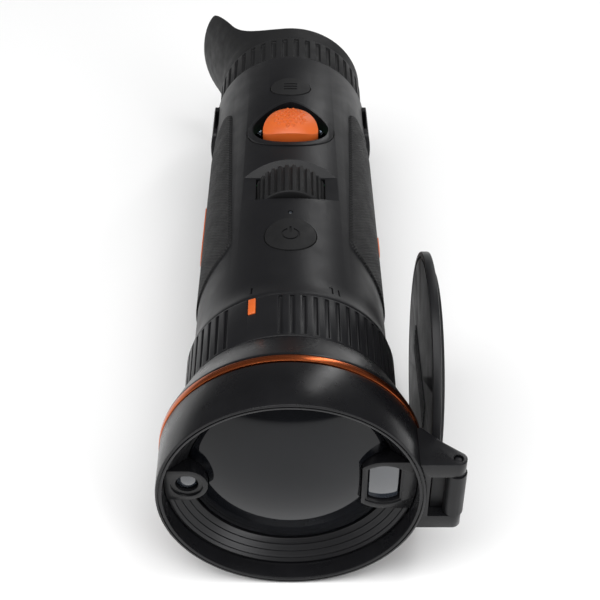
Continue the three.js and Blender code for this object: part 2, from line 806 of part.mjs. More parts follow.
function gripPanel(side) {
  const skin = bodySkin(panelDepth - clearance, panelProud);
  const panel = sideCut(panelOutline(clearance), side, skin);
  return panel.subtract(sideCut(accentOutline(side, clearance), side, bodySkin(6, 6)));
}

function sideAccent(side) {
  return sideCut(accentOutline(side, 0), side, bodySkin(panelDepth - clearance, accentProud));
}

function strapLug(side) {
  const outer = bodyRadiusAt(lugStart) + lugProud;
  const core = bodyCore(lugProud).intersect(
    side < 0 ? block([-60, -outer + lugDepth], [lugStart, lugEnd], [-lugHalfHeight, lugHalfHeight])
      : block([outer - lugDepth, 60], [lugStart, lugEnd], [-lugHalfHeight, lugHalfHeight]));
  const slotX = side * (outer - strapSlotInset);
  const slot = [slotX, slotX - side * strapSlotWidth].sort((a, b) => a - b);
  const middle = (lugStart + lugEnd) / 2;
  return core.subtract(block(slot, [middle - strapSlotLength / 2, middle + strapSlotLength / 2], [-13, 13]));
}

piece('upper_housing', upperHousing(), 'shell');
piece('lower_housing', lowerHousing(), 'shell');
for (const [label, side] of [['left', -1], ['right', 1]]) {
  piece(`grip_panel_${label}`, gripPanel(side), 'rubber');
  piece(`side_accent_${label}`, sideAccent(side), 'orange');
  piece(`strap_lug_${label}`, strapLug(side), 'shell');
}

// ---------------------------------------------------------------- keys, light and their boards

// A key follows the housing's curve on top, and its flange stays under the wall
function key(halfX, halfY, y, stem) {
  const inner = bodyRadiusAt(y) - bodyWall;
  const edge = Math.sqrt(inner ** 2 - (halfX + keySkirt) ** 2) - clearance;
  const cap = verticalHole(ellipse(halfX, halfY, y), edge - 1, 60).intersect(bodyCore(keyProud));
  const flange = verticalHole(ellipse(halfX + keySkirt, halfY + keySkirt, y), edge - 1, edge);
  const plunger = rod(1.6, [0, y, edge - 1 - stem], [0, y, edge - 0.5], 12);
  return { solid: cap.add(flange).add(plunger), bottom: edge - 1 - stem };
}

const powerKey = key(powerRadius, powerRadius, powerY, 0.8);
const menuKey = key(menuHalfLength, menuHalfWidth, menuY, 6);
piece('power_button', powerKey.solid, 'rubber');
piece('menu_button', menuKey.solid, 'rubber');

function keyBoard(keyBottom, halfX, from, to, y) {
  const switchTop = keyBottom - keyTravel - clearance;
  const top = switchTop - 0.6;
  const board = block([-halfX, halfX], [from, to], [top - keyBoardThickness, top]);
  return board.add(block([-2.5, 2.5], [y - 2.5, y + 2.5], [top - 0.5, switchTop]));
}

piece('key_board', keyBoard(powerKey.bottom, powerRadius - 1, powerY - 7, powerY + 7, powerY), 'board');

const lightY = powerY + powerToLight;
const lightTop = bodyRadiusAt(lightY) - 0.1;
piece('status_light', rod(lightRadius, [0, lightY, lightTop - 4], [0, lightY, lightTop], 12), 'glass');

// ---------------------------------------------------------------- joystick

const deckRadius = bodyRadiusAt(joystickY);
const pivotZ = deckRadius - stickPivotDrop;
const stickTop = deckRadius + stickProud;
const stickBottom = stickTop - stickHeight;

function joystickBezel() {
  const inner = bodyRadiusAt(joystickY) - bodyWall;
  const ring = verticalHole(bezelOutline(0), 10, 60).subtract(verticalHole(bezelOutline(-bezelWall), 0, 60));
  const skin = bodySkin(bodyWall, 0.4, powerY, bodyEnd);
  return ring.intersect(skin).intersect(block([-60, 60], [0, cupEnd], [inner * 0.6, 60]));
}

function joystickCap() {
  const outline = teardrop(stickHalfWidth - stickBevel, stickFrontLength - stickBevel,
    stickRearLength - stickBevel, stickPinch, joystickY + stickShift, 24);
  const shape = new THREE.Shape(outline.map(([x, y]) => new THREE.Vector2(x, y)));
  const crown = new THREE.ExtrudeGeometry(shape, {
    depth: stickHeight - 2 * stickBevel, bevelThickness: stickBevel, bevelSize: stickBevel, bevelSegments: 2,
  });
  crown.translate(0, 0, stickBottom + stickBevel);
  const boss = rod(stemRadius + 1.8, [0, joystickY, stickBottom - 3], [0, joystickY, stickBottom + 2]);
  const bore = rod(stemRadius + clearance, [0, joystickY, stickBottom - 4], [0, joystickY, stickBottom + 2]);
  return weld(crown).add(boss).subtract(bore);
}

const stemFoot = pivotZ - 1.2;

function joystickStem() {
  return rod(stemRadius, [0, joystickY, stemFoot], [0, joystickY, stickBottom + 1.2]);
}

function joystickGimbal() {
  const ring = rod(gimbalRadius, [0, joystickY, pivotZ - 1], [0, joystickY, pivotZ + 1], cellSides);
  return ring.subtract(rod(stemRadius + 1, [0, joystickY, pivotZ - 2], [0, joystickY, pivotZ + 2]));
}

// The board under the rear controls carries the joystick's sensor and the menu key's switch
function controlBoard() {
  const baseTop = pivotZ - 1 - 1.5;
  const top = baseTop - 3;
  const switchTop = menuKey.bottom - keyTravel - clearance;
  const board = block([-9, 9], [joystickY - 12, menuY + 5], [top - keyBoardThickness, top]);
  const base = block([-6.5, 6.5], [joystickY - 6.5, joystickY + 6.5], [top - 0.5, baseTop]);
  const menuSwitch = block([-2.5, 2.5], [menuY - 2.5, menuY + 2.5], [top - 0.5, switchTop]);
  return board.add(base).add(menuSwitch);
}

piece('joystick_bezel', joystickBezel(), 'shell');
piece('joystick_cap', joystickCap(), 'orange');
piece('joystick_stem', joystickStem(), 'steel');
piece('joystick_gimbal', joystickGimbal(), 'aluminium');
piece('control_board', controlBoard(), 'board');

// ---------------------------------------------------------------- focus drive

const barrelEnd = bodyStart + barrelTail;
const focusCellStart = barrelEnd + 1 + focusTravel;
const focusCellEnd = focusCellStart + focusCellLength;
const shutterStart = focusCellEnd + focusTravel + 1;
const bulkheadStart = shutterStart + 2.5;
const bulkheadEnd = bulkheadStart + bulkheadThickness;
const guideZ = -(focusCellRadius + 3.5);
const screwStart = barrelEnd + 0.8;
const screwEnd = wheelRear + clearance + yokePlate + 1.5;

function focusWheel() {
  let wheel = rod(wheelRadius, [0, wheelFront, wheelZ], [0, wheelRear, wheelZ], wheelRibs);
  wheel = wheel.subtract(rod(screwRadius + clearance, [0, wheelFront - 1, wheelZ], [0, wheelRear + 1, wheelZ]));
  for (let i = 0; i < wheelRibs; i += 1) {
    const angle = (i / wheelRibs) * Math.PI * 2;
    const cut = new THREE.BoxGeometry(1.1, wheelWidth - 2.4, 1.4).translate(0, 0, wheelRadius);
    cut.rotateY(angle).translate(0, wheelY + 0.6, wheelZ);
    wheel = wheel.subtract(weld(cut));
  }
  return wheel;
}

function wheelYoke() {
  const base = wheelZ - wheelRadius - 1.5;
  const front = [wheelFront - clearance - 0.5 - yokePlate, wheelFront - clearance - 0.5];
  const rear = [wheelRear + clearance + 0.5, wheelRear + clearance + 0.5 + yokePlate];
  const half = 4.5;
  const top = pocketFloor - bodyWall - clearance;
  let yoke = block([-half, half], [front[0], rear[1]], [base - 2, base]);
  yoke = yoke.add(block([-half, half], front, [base - 1, top]));
  yoke = yoke.add(block([-half, half], rear, [base - 1, top]));
  return yoke.subtract(rod(screwRadius + clearance, [0, front[0] - 1, wheelZ], [0, rear[1] + 1, wheelZ]));
}

function focusLensCell() {
  const holder = turned([
    [focusLensRadius - 0.8, focusCellStart], [focusCellRadius, focusCellStart],
    [focusCellRadius, focusCellEnd], [focusLensRadius + clearance, focusCellEnd],
    [focusLensRadius + clearance, focusCellStart + 1], [focusLensRadius - 0.8, focusCellStart + 1],
  ], cellSides);
  const nutArm = block([-3.6, 3.6], [focusCellStart, focusCellEnd], [focusCellRadius - 1.2, wheelZ + 3.6]);
  const guideArm = block([-2.8, 2.8], [focusCellStart, focusCellEnd], [guideZ - 2.8, -focusCellRadius + 1.2]);
  const nut = rod(screwRadius + clearance, [0, focusCellStart - 1, wheelZ], [0, focusCellEnd + 1, wheelZ]);
  const guide = rod(guideRadius + clearance, [0, focusCellStart - 1, guideZ], [0, focusCellEnd + 1, guideZ]);
  return holder.add(nutArm).add(guideArm).subtract(nut).subtract(guide);
}

const bulkheadRadius = bodyRadius - bodyWall - 1;

function lensBulkhead() {
  const plate = rod(bulkheadRadius, [0, bulkheadStart, 0], [0, bulkheadEnd, 0], bigSides);
  const aperture = rod(shutterRadius - 1, [0, bulkheadStart - 1, 0], [0, bulkheadEnd + 1, 0]);
  const span = [bulkheadStart - 1, bulkheadEnd + 1];
  const notch = block([-powerRadius - 2, powerRadius + 2], span, [wheelZ - screwRadius - 0.6, 60]);
  const pivot = rod(1.3, [shutterPivotX, span[0], shutterPivotZ], [shutterPivotX, span[1], shutterPivotZ], 12);
  const guide = rod(guideRadius + clearance, [0, span[0], guideZ], [0, span[1], guideZ], 12);
  return plate.subtract(aperture).subtract(notch).subtract(pivot).subtract(guide);
}

// The shutter's blade turns about its motor's shaft, and rests clear of the light path
function shutterFlag() {
  const reach = Math.hypot(shutterPivotX, shutterPivotZ);
  const shut = Math.atan2(-shutterPivotZ, -shutterPivotX);
  const rest = shut - THREE.MathUtils.degToRad(shutterSwing);
  const centre = [shutterPivotX + reach * Math.cos(rest), shutterPivotZ + reach * Math.sin(rest)];
  const end = shutterStart + 0.8;
  const blade = rod(shutterRadius, [centre[0], shutterStart, centre[1]], [centre[0], end, centre[1]], 24);
  const arm = new THREE.BoxGeometry(reach, 0.8, 3).translate(reach / 2, 0, 0).rotateY(-rest);
  const shaft = rod(1, [shutterPivotX, shutterStart, shutterPivotZ], [shutterPivotX, bulkheadEnd + 6, shutterPivotZ], 12);
  return blade.add(weld(arm.translate(shutterPivotX, shutterStart + 0.4, shutterPivotZ))).add(shaft);
}

function detectorModule() {
  const half = detectorSize / 2;
  const start = bulkheadEnd + clearance;
  const housing = block([-half, half - 1], [start, start + detectorDepth], [-half + 2, half - 2]);
  return housing.subtract(block([shutterPivotX - 5, 60], [0, cupEnd], [-60, shutterPivotZ + 4.5]));
}

piece('focus_wheel', focusWheel(), 'rubber');
piece('focus_screw', rod(screwRadius, [0, screwStart, wheelZ], [0, screwEnd, wheelZ]), 'steel');
piece('wheel_yoke', wheelYoke(), 'aluminium');
piece('focus_lens_cell', focusLensCell(), 'aluminium');
piece('focus_lens', biconvex(focusLensRadius, focusCellStart + 1 + clearance, 1.8, 0.9), 'germanium');
piece('guide_rod', rod(guideRadius, [0, barrelEnd + 0.6, guideZ], [0, bulkheadEnd, guideZ]), 'steel');
piece('lens_bulkhead', lensBulkhead(), 'aluminium');
piece('shutter_flag', shutterFlag(), 'steel');
piece('detector_module', detectorModule(), 'aluminium');

// ---------------------------------------------------------------- inside the grip

const boardStart = bulkheadEnd + detectorDepth + 3;
const boardEnd = bodyEnd - 34;
const boardTop = wheelZ - wheelRadius - 4;
const batteryZ = -(bodyRearRadius - bodyWall - batteryRadius - 3.4);
const batteryStart = boardStart + 2;
const eyeBarrelStart = bodyEnd - 8;
const displayStart = eyeBarrelStart - 15;

piece('main_board', block([-boardHalfWidth, boardHalfWidth], [boardStart, boardEnd],
  [boardTop - boardThickness, boardTop]), 'board');
piece('battery', rod(batteryRadius, [0, batteryStart, batteryZ],
  [0, batteryStart + batteryLength, batteryZ], cellSides), 'cell');
piece('display_module', block([-displayWidth / 2, displayWidth / 2],
  [displayStart, displayStart + displayDepth], [-displayHeight / 2, displayHeight / 2]), 'glass');

// ---------------------------------------------------------------- eyepiece

const flangeRadius = bodyRearRadius - bodyWall - clearance;
const eyeBarrelEnd = bodyEnd + eyeBarrelTail;
const dioptreStart = bodyEnd + clearance;
const eyeCellStart = bodyEnd + 4;
const eyeBore = eyeBarrelRadius - eyeBarrelWall;

function eyepieceBarrel() {
  return turned([
    [eyeBore, eyeBarrelStart], [flangeRadius, eyeBarrelStart], [flangeRadius, eyeBarrelStart + 3],
    [eyeBarrelRadius, eyeBarrelStart + 3], [eyeBarrelRadius, eyeBarrelEnd], [eyeBore, eyeBarrelEnd],
  ]);
}

function eyepieceCell() {
  const end = eyeCellStart + eyeCellLength;
  const outer = eyeBore - clearance;
  return turned([
    [eyeLensRadius - 0.8, eyeCellStart], [outer, eyeCellStart], [outer, end],
    [eyeLensRadius + clearance, end], [eyeLensRadius + clearance, eyeCellStart + 1.5],
    [eyeLensRadius - 0.8, eyeCellStart + 1.5],
  ], cellSides);
}

function dioptreRing() {
  const inner = eyeBarrelRadius + clearance;
  const end = dioptreEnd - clearance;
  const blank = turned([
    [inner, dioptreStart], [dioptreRadius - 0.4, dioptreStart], [dioptreRadius, dioptreStart + 0.4],
    [dioptreRadius, end], [inner, end],
  ], dioptreBars);
  const angles = [...Array(dioptreBars).keys()].map((i) => ((i + 0.5) * 360) / dioptreBars);
  const length = dioptreLength - 3;
  return blank.subtract(boxesAround([barGap, length, 4], dioptreRadius + 2 - barDepth,
    dioptreStart + 1.4 + length / 2, angles));
}

// The wing is a trumpet whose edge is cut back to the band everywhere but on the -X side
function eyecup() {
  const bandEnd = dioptreEnd + cupBandLength;
  const outside = [];
  const inside = [];
  const steps = 5;
  for (let i = 0; i <= steps; i += 1) {
    const share = i / steps;
    const y = bandEnd + cupFlareLength * share;
    const radius = dioptreRadius - 0.3 + (cupFlareRadius - dioptreRadius + 0.3) * share ** 1.25;
    outside.push([radius, y]);
    inside.push([radius - cupWall * (1 - 0.3 * share), y]);
  }
  const inner = eyeBarrelRadius + clearance;
  const trumpet = turned([
    [inner, dioptreEnd], [dioptreRadius - 0.3, dioptreEnd], ...outside,
    ...inside.reverse(), [inner, bandEnd - 1],
  ]);
  const edge = new THREE.Shape();
  const bandX = -9;
  edge.moveTo(bandX + 5, bandEnd + 0.8);
  edge.quadraticCurveTo(bandX - 8, bandEnd + 3, cupTipX + 4, cupEnd - 7);
  edge.quadraticCurveTo(cupTipX - 1, cupEnd - 2, cupTipX - 2, cupEnd + 2);
  edge.lineTo(80, cupEnd + 2);
  edge.lineTo(80, bandEnd + 0.8);
  return trumpet.subtract(prism(edge, 'z', -60, 60));
}

piece('eyepiece_barrel', eyepieceBarrel(), 'aluminium');
piece('eyepiece_cell', eyepieceCell(), 'aluminium');
piece('eyepiece_lens', biconvex(eyeLensRadius, eyeCellStart + 1.5 + clearance, 3, 2.4), 'glass');
piece('dioptre_ring', dioptreRing(), 'rubber');
piece('eyecup', eyecup(), 'rubber');

// ---------------------------------------------------------------- foot, bush, screws and port

const bushY = footY - bushOffset;

function tripodFoot() {
  const outline = roundedRectangle(footWidth / 2, footLength / 2, 6, 0, footY);
  const body = prism(outline, 'z', footBottom, -bodyRadius / 2).subtract(bodyCore(clearance));
  const pocket = rod(bushRadius + clearance, [0, bushY, footBottom - 1],
    [0, bushY, footBottom + bushLength + clearance]);
  let foot = body.subtract(pocket);
  for (const offset of [-caseScrewOffset, caseScrewOffset]) {
    const y = footY + offset;
    foot = foot.subtract(rod(caseScrewRadius + clearance, [0, y, footBottom - 1], [0, y, 0]));
    foot = foot.subtract(rod(caseScrewHead + clearance, [0, y, footBottom - 1], [0, y, footBottom + screwSeatDepth]));
  }
  return foot;
}

function tripodBush() {
  const outer = rod(bushRadius, [0, bushY, footBottom + 0.2], [0, bushY, footBottom + bushLength]);
  return outer.subtract(rod(bushBore, [0, bushY, footBottom - 1], [0, bushY, footBottom + bushLength + 1]));
}

function caseScrew() {
  const seat = screwSeatDepth - clearance;
  const end = axisHeight - bodyRadius + bodyWall + caseScrewBite;
  const head = rod(caseScrewHead, [0, 0, seat - screwHeadHeight], [0, 0, seat]);
  return head.add(rod(caseScrewRadius, [0, 0, seat - 0.5], [0, 0, end], 12));
}

function usbSocket() {
  const half = portWidth / 2;
  const tall = portHeight / 2;
  const top = coverFloor + portDepth;
  const shell = block([-half, half], [portY - tall, portY + tall], [coverFloor + 0.4, top]);
  const mouth = block([-half + 0.5, half - 0.5], [portY - tall + 0.5, portY + tall - 0.5], [-60, top - 1]);
  return shell.subtract(mouth);
}

function usbCover() {
  const outer = coverFloor - coverThickness - clearance;
  const flap = block([-coverWidth / 2, coverWidth / 2], [coverFront, coverRear], [outer, coverFloor - clearance]);
  const tongue = block([-3.4, 3.4], [portY - 0.8, portY + 0.8], [coverFloor - 1, coverFloor + 0.9]);
  return flap.add(tongue);
}

piece('tripod_foot', tripodFoot(), 'shell');
piece('tripod_bush', tripodBush(), 'brass');
for (const [label, offset] of [['front', -caseScrewOffset], ['rear', caseScrewOffset]]) {
  const screw = piece(`case_screw_${label}`, caseScrew(), 'steel');
  screw.position.set(0, footY + offset, footBottom);
}
piece('usb_socket', usbSocket(), 'steel');
piece('usb_cover', usbCover(), 'rubber');

const camera = new THREE.Group();
camera.add(opticalAxis);

export default camera;
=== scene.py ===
"""Handheld thermal-imaging monocular: the visible pieces over the CAD frame.

Sizes are in millimetres from the centre of the hood's rim: X to the cap's hinge, Y back to
the eyecup, Z up. at() turns such a place into the frame's metres.
"""

import math

import bpy
from mathutils import Matrix, Vector


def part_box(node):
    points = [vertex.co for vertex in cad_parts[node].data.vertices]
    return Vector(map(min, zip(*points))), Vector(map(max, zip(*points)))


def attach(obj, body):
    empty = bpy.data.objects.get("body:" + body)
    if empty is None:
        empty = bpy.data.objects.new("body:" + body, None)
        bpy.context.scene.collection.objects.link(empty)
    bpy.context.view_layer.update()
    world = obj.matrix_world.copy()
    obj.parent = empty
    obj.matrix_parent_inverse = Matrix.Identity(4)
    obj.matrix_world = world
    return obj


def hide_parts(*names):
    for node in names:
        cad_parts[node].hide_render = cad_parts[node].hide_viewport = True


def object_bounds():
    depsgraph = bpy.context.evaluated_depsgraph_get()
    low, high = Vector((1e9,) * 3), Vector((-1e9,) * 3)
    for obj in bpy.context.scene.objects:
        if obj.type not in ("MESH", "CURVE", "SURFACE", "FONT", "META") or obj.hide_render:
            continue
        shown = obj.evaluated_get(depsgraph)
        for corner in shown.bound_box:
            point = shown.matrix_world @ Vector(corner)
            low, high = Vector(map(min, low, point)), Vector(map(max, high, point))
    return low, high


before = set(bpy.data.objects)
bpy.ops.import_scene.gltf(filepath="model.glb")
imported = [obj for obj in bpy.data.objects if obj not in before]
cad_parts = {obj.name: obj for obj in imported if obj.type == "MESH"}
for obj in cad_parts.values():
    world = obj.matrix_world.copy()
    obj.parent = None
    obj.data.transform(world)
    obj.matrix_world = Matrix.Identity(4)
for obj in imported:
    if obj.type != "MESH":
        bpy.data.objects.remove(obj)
cad_low, cad_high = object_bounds()

MM = 0.001
hood_low, hood_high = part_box("front_hood")
RIM = Vector((0, hood_low.y, (hood_low.z + hood_high.z) / 2))
ROUND = 180


# ---------------------------------------------------------------- places from the frame


def at(x, y, z):
    return Vector((x, y, z)) * MM + RIM


def reach(node):
    """A CAD node's lowest and highest corners, in millimetres from the rim's centre."""
    low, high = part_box(node)
    return (low - RIM) / MM, (high - RIM) / MM


def middle_of(node_name):
    """Centre of a node, in millimetres."""
    low, high = reach(node_name)
    return (low + high) / 2


HOOD_RADIUS = reach("front_hood")[1].x
HOOD_END = reach("trim_ring")[0].y - 0.3
CONE_END = reach("front_hood")[1].y
RING_RADIUS = 32
RING_START = reach("fov_ring")[0].y
RING_END = reach("fov_ring")[1].y
BODY_START = reach("upper_housing")[0].y
BODY_END = reach("upper_housing")[1].y
COLLAR_END = BODY_START + 10
BODY_RADIUS = 30.2
BODY_REAR_RADIUS = 28.4
BODY_WALL = 2.2
WHEEL_LOW, WHEEL_HIGH = reach("focus_wheel")
BEZEL_HALF_WIDTH = 15.2
BEZEL_FRONT = 15
BEZEL_REAR = 14.4
BEZEL_PINCH = 0.5
BEZEL_WALL = 1.9
STICK_HALF_WIDTH = 9.6
STICK_FRONT = 4.2
STICK_REAR = 12.3
STICK_PINCH = 0.15
POWER_RADIUS = 8.1
MENU_HALF_LENGTH = 7.2
MENU_HALF_WIDTH = 5.75
KEY_SKIRT = 1.1
CLEARANCE = 0.3

POWER_Y = middle_of("power_button").y
MENU_Y = middle_of("menu_button").y
STICK_Y = middle_of("joystick_stem").y
BEZEL_WIDEST_Y = STICK_Y + 2.4
STICK_WIDEST_Y = STICK_Y - 3
LIGHT_Y = middle_of("status_light").y
DIOPTRE_END = reach("dioptre_ring")[1].y
CUP_END = reach("eyecup")[1].y
FOOT_LOW, FOOT_HIGH = reach("tripod_foot")


def body_radius(y):
    share = (y - COLLAR_END) / (BODY_END - COLLAR_END)
    return BODY_RADIUS + (BODY_REAR_RADIUS - BODY_RADIUS) * share


# ---------------------------------------------------------------- ways of shaping


def clear_selection():
    bpy.ops.object.select_all(action="DESELECT")


def choose(piece):
    clear_selection()
    piece.select_set(True)
    bpy.context.view_layer.objects.active = piece


def keep(name):
    """Names the new piece and writes its place into its mesh."""
    piece = bpy.context.object
    piece.name = name
    piece.data.name = name
    bpy.ops.object.transform_apply(location=True, rotation=True, scale=True)
    return piece


def face_outwards(piece):
    choose(piece)
    bpy.ops.object.mode_set(mode="EDIT")
    bpy.ops.mesh.select_all(action="SELECT")
    bpy.ops.mesh.remove_doubles(threshold=0.000002)
    bpy.ops.mesh.normals_make_consistent(inside=False)
    bpy.ops.object.mode_set(mode="OBJECT")
    return piece


def box(name, x, y, z):
    clear_selection()
    middle = at((x[0] + x[1]) / 2, (y[0] + y[1]) / 2, (z[0] + z[1]) / 2)
    lengths = [(high - low) * MM for low, high in (x, y, z)]
    bpy.ops.mesh.primitive_cube_add(size=1, location=middle, scale=lengths)
    return keep(name)


def bar(name, radius, start, end, sides=64):
    clear_selection()
    first, last = at(*start), at(*end)
    along = last - first
    bpy.ops.mesh.primitive_cylinder_add(
        vertices=sides, radius=radius * MM, depth=along.length,
        location=(first + last) / 2, rotation=along.to_track_quat("Z", "Y").to_euler())
    return keep(name)


def ball(name, radius, middle, segments=96):
    clear_selection()
    bpy.ops.mesh.primitive_uv_sphere_add(
        segments=segments, ring_count=segments // 2, radius=radius * MM, location=at(*middle))
    return keep(name)


TURN = {"x": (0, math.pi / 2, 0), "y": (-math.pi / 2, 0, 0), "z": (0, 0, 0)}


def turned(name, profile, hub=(0, 0, 0), axis="y", sides=ROUND, solid=False):
    """A section of (radius, distance along the axis) points grown ring by ring about the hub.

    A solid's section starts and ends next to the axis, where its last rings are drawn together.
    """
    index = "xyz".index(axis)
    radius, along = profile[0]
    centre = list(hub)
    centre[index] = along
    clear_selection()
    bpy.ops.mesh.primitive_circle_add(
        vertices=sides, radius=radius * MM, location=at(*centre), rotation=TURN[axis])
    piece = keep(name)
    bpy.ops.object.mode_set(mode="EDIT")
    bpy.ops.mesh.select_mode(type="EDGE")
    bpy.ops.mesh.select_all(action="SELECT")
    for next_radius, next_along in profile[1:]:
        step = [0, 0, 0]
        step[index] = (next_along - along) * MM
        bpy.ops.mesh.extrude_region_move(TRANSFORM_OT_translate={"value": step})
        centre[index] = next_along
        grow = [next_radius / radius] * 3
        grow[index] = 1
        bpy.ops.transform.resize(value=grow, center_override=at(*centre))
        radius, along = next_radius, next_along
    if solid:
        bpy.ops.mesh.merge(type="CENTER")
    bpy.ops.mesh.select_mode(type="VERT")
    bpy.ops.mesh.select_all(action="DESELECT")
    bpy.ops.mesh.select_non_manifold(extend=False)
    if solid:
        bpy.ops.mesh.merge(type="CENTER")
    else:
        bpy.ops.mesh.bridge_edge_loops()
    bpy.ops.object.mode_set(mode="OBJECT")
    return face_outwards(piece)


def slab(name, outline, axis, low, high):
    """An outline in the plane of the two other axes, drawn out along one axis."""
    index = "xyz".index(axis)
    clear_selection()
    bpy.ops.mesh.primitive_circle_add(vertices=len(outline), radius=MM, fill_type="NGON")
    piece = keep(name)
    for vertex, (across, up) in zip(piece.data.vertices, outline):
        place = [across, up]
        place.insert(index, low)
        vertex.co = at(*place)
    step = [0, 0, 0]
    step[index] = (high - low) * MM
    bpy.ops.object.mode_set(mode="EDIT")
    bpy.ops.mesh.select_all(action="SELECT")
    bpy.ops.mesh.extrude_region_move(TRANSFORM_OT_translate={"value": step})
    bpy.ops.object.mode_set(mode="OBJECT")
    return face_outwards(piece)


def combine(piece, tool, operation="DIFFERENCE"):
    step = piece.modifiers.new("shape", "BOOLEAN")
    step.operation = operation
    step.solver = "EXACT"
    step.object = tool
    choose(piece)
    bpy.ops.object.modifier_apply(modifier=step.name)
    bpy.data.meshes.remove(tool.data)
    return piece


def cut(piece, *tools):
    for tool in tools:
        combine(piece, tool)
    return piece


def join(name, pieces):
    clear_selection()
    for piece in pieces:
        piece.select_set(True)
    bpy.context.view_layer.objects.active = pieces[0]
    bpy.ops.object.join()
    pieces[0].name = name
    return pieces[0]


def copy_of(piece, name):
    twin = piece.copy()
    twin.data = piece.data.copy()
    twin.name = name
    bpy.context.collection.objects.link(twin)
    return twin


def turn_about(piece, degrees, hub=(0, 0, 0), axis="Y"):
    place = Matrix.Translation(at(*hub))
    piece.matrix_world = place @ Matrix.Rotation(math.radians(degrees), 4, axis) @ place.inverted()
    choose(piece)
    bpy.ops.object.transform_apply(location=True, rotation=True, scale=True)
    return piece


def repeat_about(name, piece, angles, hub=(0, 0, 0), axis="Y"):
    """Copies of one piece turned about an axis, as one object."""
    copies = [turn_about(copy_of(piece, name), angle, hub, axis) for angle in angles]
    bpy.data.meshes.remove(piece.data)
    return join(name, copies)


def soften(piece, width, segments=2, angle=32):
    """Rounds the edges that turn by more than the angle, and shades the rest smooth."""
    step = piece.modifiers.new("edges", "BEVEL")
    step.width = width * MM
    step.segments = segments
    step.limit_method = "ANGLE"
    step.angle_limit = math.radians(angle)
    step.use_clamp_overlap = True
    step.miter_outer = "MITER_ARC"
    choose(piece)
    bpy.ops.object.modifier_apply(modifier=step.name)
    return smooth(piece, angle)


def smooth(piece, angle=32):
    choose(piece)
    bpy.ops.object.shade_smooth_by_angle(angle=math.radians(angle))
    return piece


def finish(piece, look, body, slot, *nodes):
    """Gives a piece its material, the CAD body it rides on and the CAD nodes it stands for."""
    piece.data.materials.clear()
    piece.data.materials.append(look)
    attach(piece, body)
    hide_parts(*nodes)
    return piece


def mix(low, high, share):
    return low + (high - low) * share


def curve_between(start, pull, end, steps):
    """Points along a curve from start to end, drawn towards pull, without its last point."""
    points = []
    for i in range(steps):
        t = i / steps
        points.append(tuple(
            (1 - t) ** 2 * start[k] + 2 * t * (1 - t) * pull[k] + t * t * end[k] for k in range(2)))
    return points


def round_corners(outline, radius, steps=6):
    """An outline whose corners are drawn back by up to the radius."""
    rounded = []
    for i, corner in enumerate(outline):
        before = Vector(outline[i - 1]) - Vector(corner)
        after = Vector(outline[(i + 1) % len(outline)]) - Vector(corner)
        back = min(radius, before.length * 0.45, after.length * 0.45)
        start = Vector(corner) + before.normalized() * back
        end = Vector(corner) + after.normalized() * back
        rounded += curve_between(start, corner, end, steps)
        rounded.append(tuple(end))
    return rounded


def ellipse(half_x, half_y, middle_y, points=96):
    angles = [math.tau * i / points for i in range(points)]
    return [(half_x * math.cos(a), middle_y + half_y * math.sin(a)) for a in angles]


def teardrop(half_width, front_length, rear_length, pinch, widest_y, points=120):
    """An outline with a broad front and a rear that a pinch draws in."""
    outline = []
    for i in range(points):
        angle = 2 * math.pi * i / points
        rearward = max(math.sin(angle), 0)
        across = half_width * math.cos(angle) * (1 - pinch * rearward ** 1.5)
        length = rear_length if rearward > 0 else front_length
        outline.append((across, widest_y + length * math.sin(angle)))
    return outline


def bezel_outline(grow):
    """The joystick bezel's outside, grown or, below zero, drawn in."""
    return teardrop(
        BEZEL_HALF_WIDTH + grow, BEZEL_FRONT + grow, BEZEL_REAR + grow, BEZEL_PINCH, BEZEL_WIDEST_Y)


def stick_outline():
    return teardrop(STICK_HALF_WIDTH, STICK_FRONT, STICK_REAR, STICK_PINCH, STICK_WIDEST_Y)


def power_outline(grow):
    return ellipse(POWER_RADIUS + grow, POWER_RADIUS + grow, POWER_Y)


def menu_outline(grow):
    return ellipse(MENU_HALF_LENGTH + grow, MENU_HALF_WIDTH + grow, MENU_Y)


def arc(radius, start, end, steps, middle=(0, 0)):
    points = []
    for i in range(steps + 1):
        angle = math.radians(mix(start, end, i / steps))
        points.append((middle[0] + radius * math.cos(angle), middle[1] + radius * math.sin(angle)))
    return points


# ---------------------------------------------------------------- ways of finishing


def new_look(name, color, roughness, metallic=0.0):
    material = bpy.data.materials.new(name)
    material.use_nodes = True
    shader = material.node_tree.nodes["Principled BSDF"]
    shader.inputs["Base Color"].default_value = (*color, 1)
    shader.inputs["Roughness"].default_value = roughness
    shader.inputs["Metallic"].default_value = metallic
    return material


def node(material, kind, **inputs):
    new = material.node_tree.nodes.new(kind)
    for name, value in inputs.items():
        new.inputs[name.replace("_", " ")].default_value = value
    return new


def link(material, output, target):
    material.node_tree.links.new(output, target)


def math_node(material, operation, first, second=None):
    new = material.node_tree.nodes.new("ShaderNodeMath")
    new.operation = operation
    for socket, value in zip(new.inputs, (first, second)):
        if value is None:
            continue
        if isinstance(value, (int, float)):
            socket.default_value = value
        else:
            link(material, value, socket)
    return new.outputs["Value"]


def object_place(material):
    return node(material, "ShaderNodeTexCoord").outputs["Object"]


def noise(material, scale, detail=2.0, place=None):
    texture = node(material, "ShaderNodeTexNoise", Scale=scale, Detail=detail)
    link(material, place or object_place(material), texture.inputs["Vector"])
    return texture.outputs["Fac"]


def spread(material, value, low, high, target):
    """The target follows a pattern between two values."""
    ranged = node(material, "ShaderNodeMapRange", From_Min=0.3, From_Max=0.7, To_Min=low, To_Max=high)
    link(material, value, ranged.inputs["Value"])
    link(material, ranged.outputs["Result"], target)


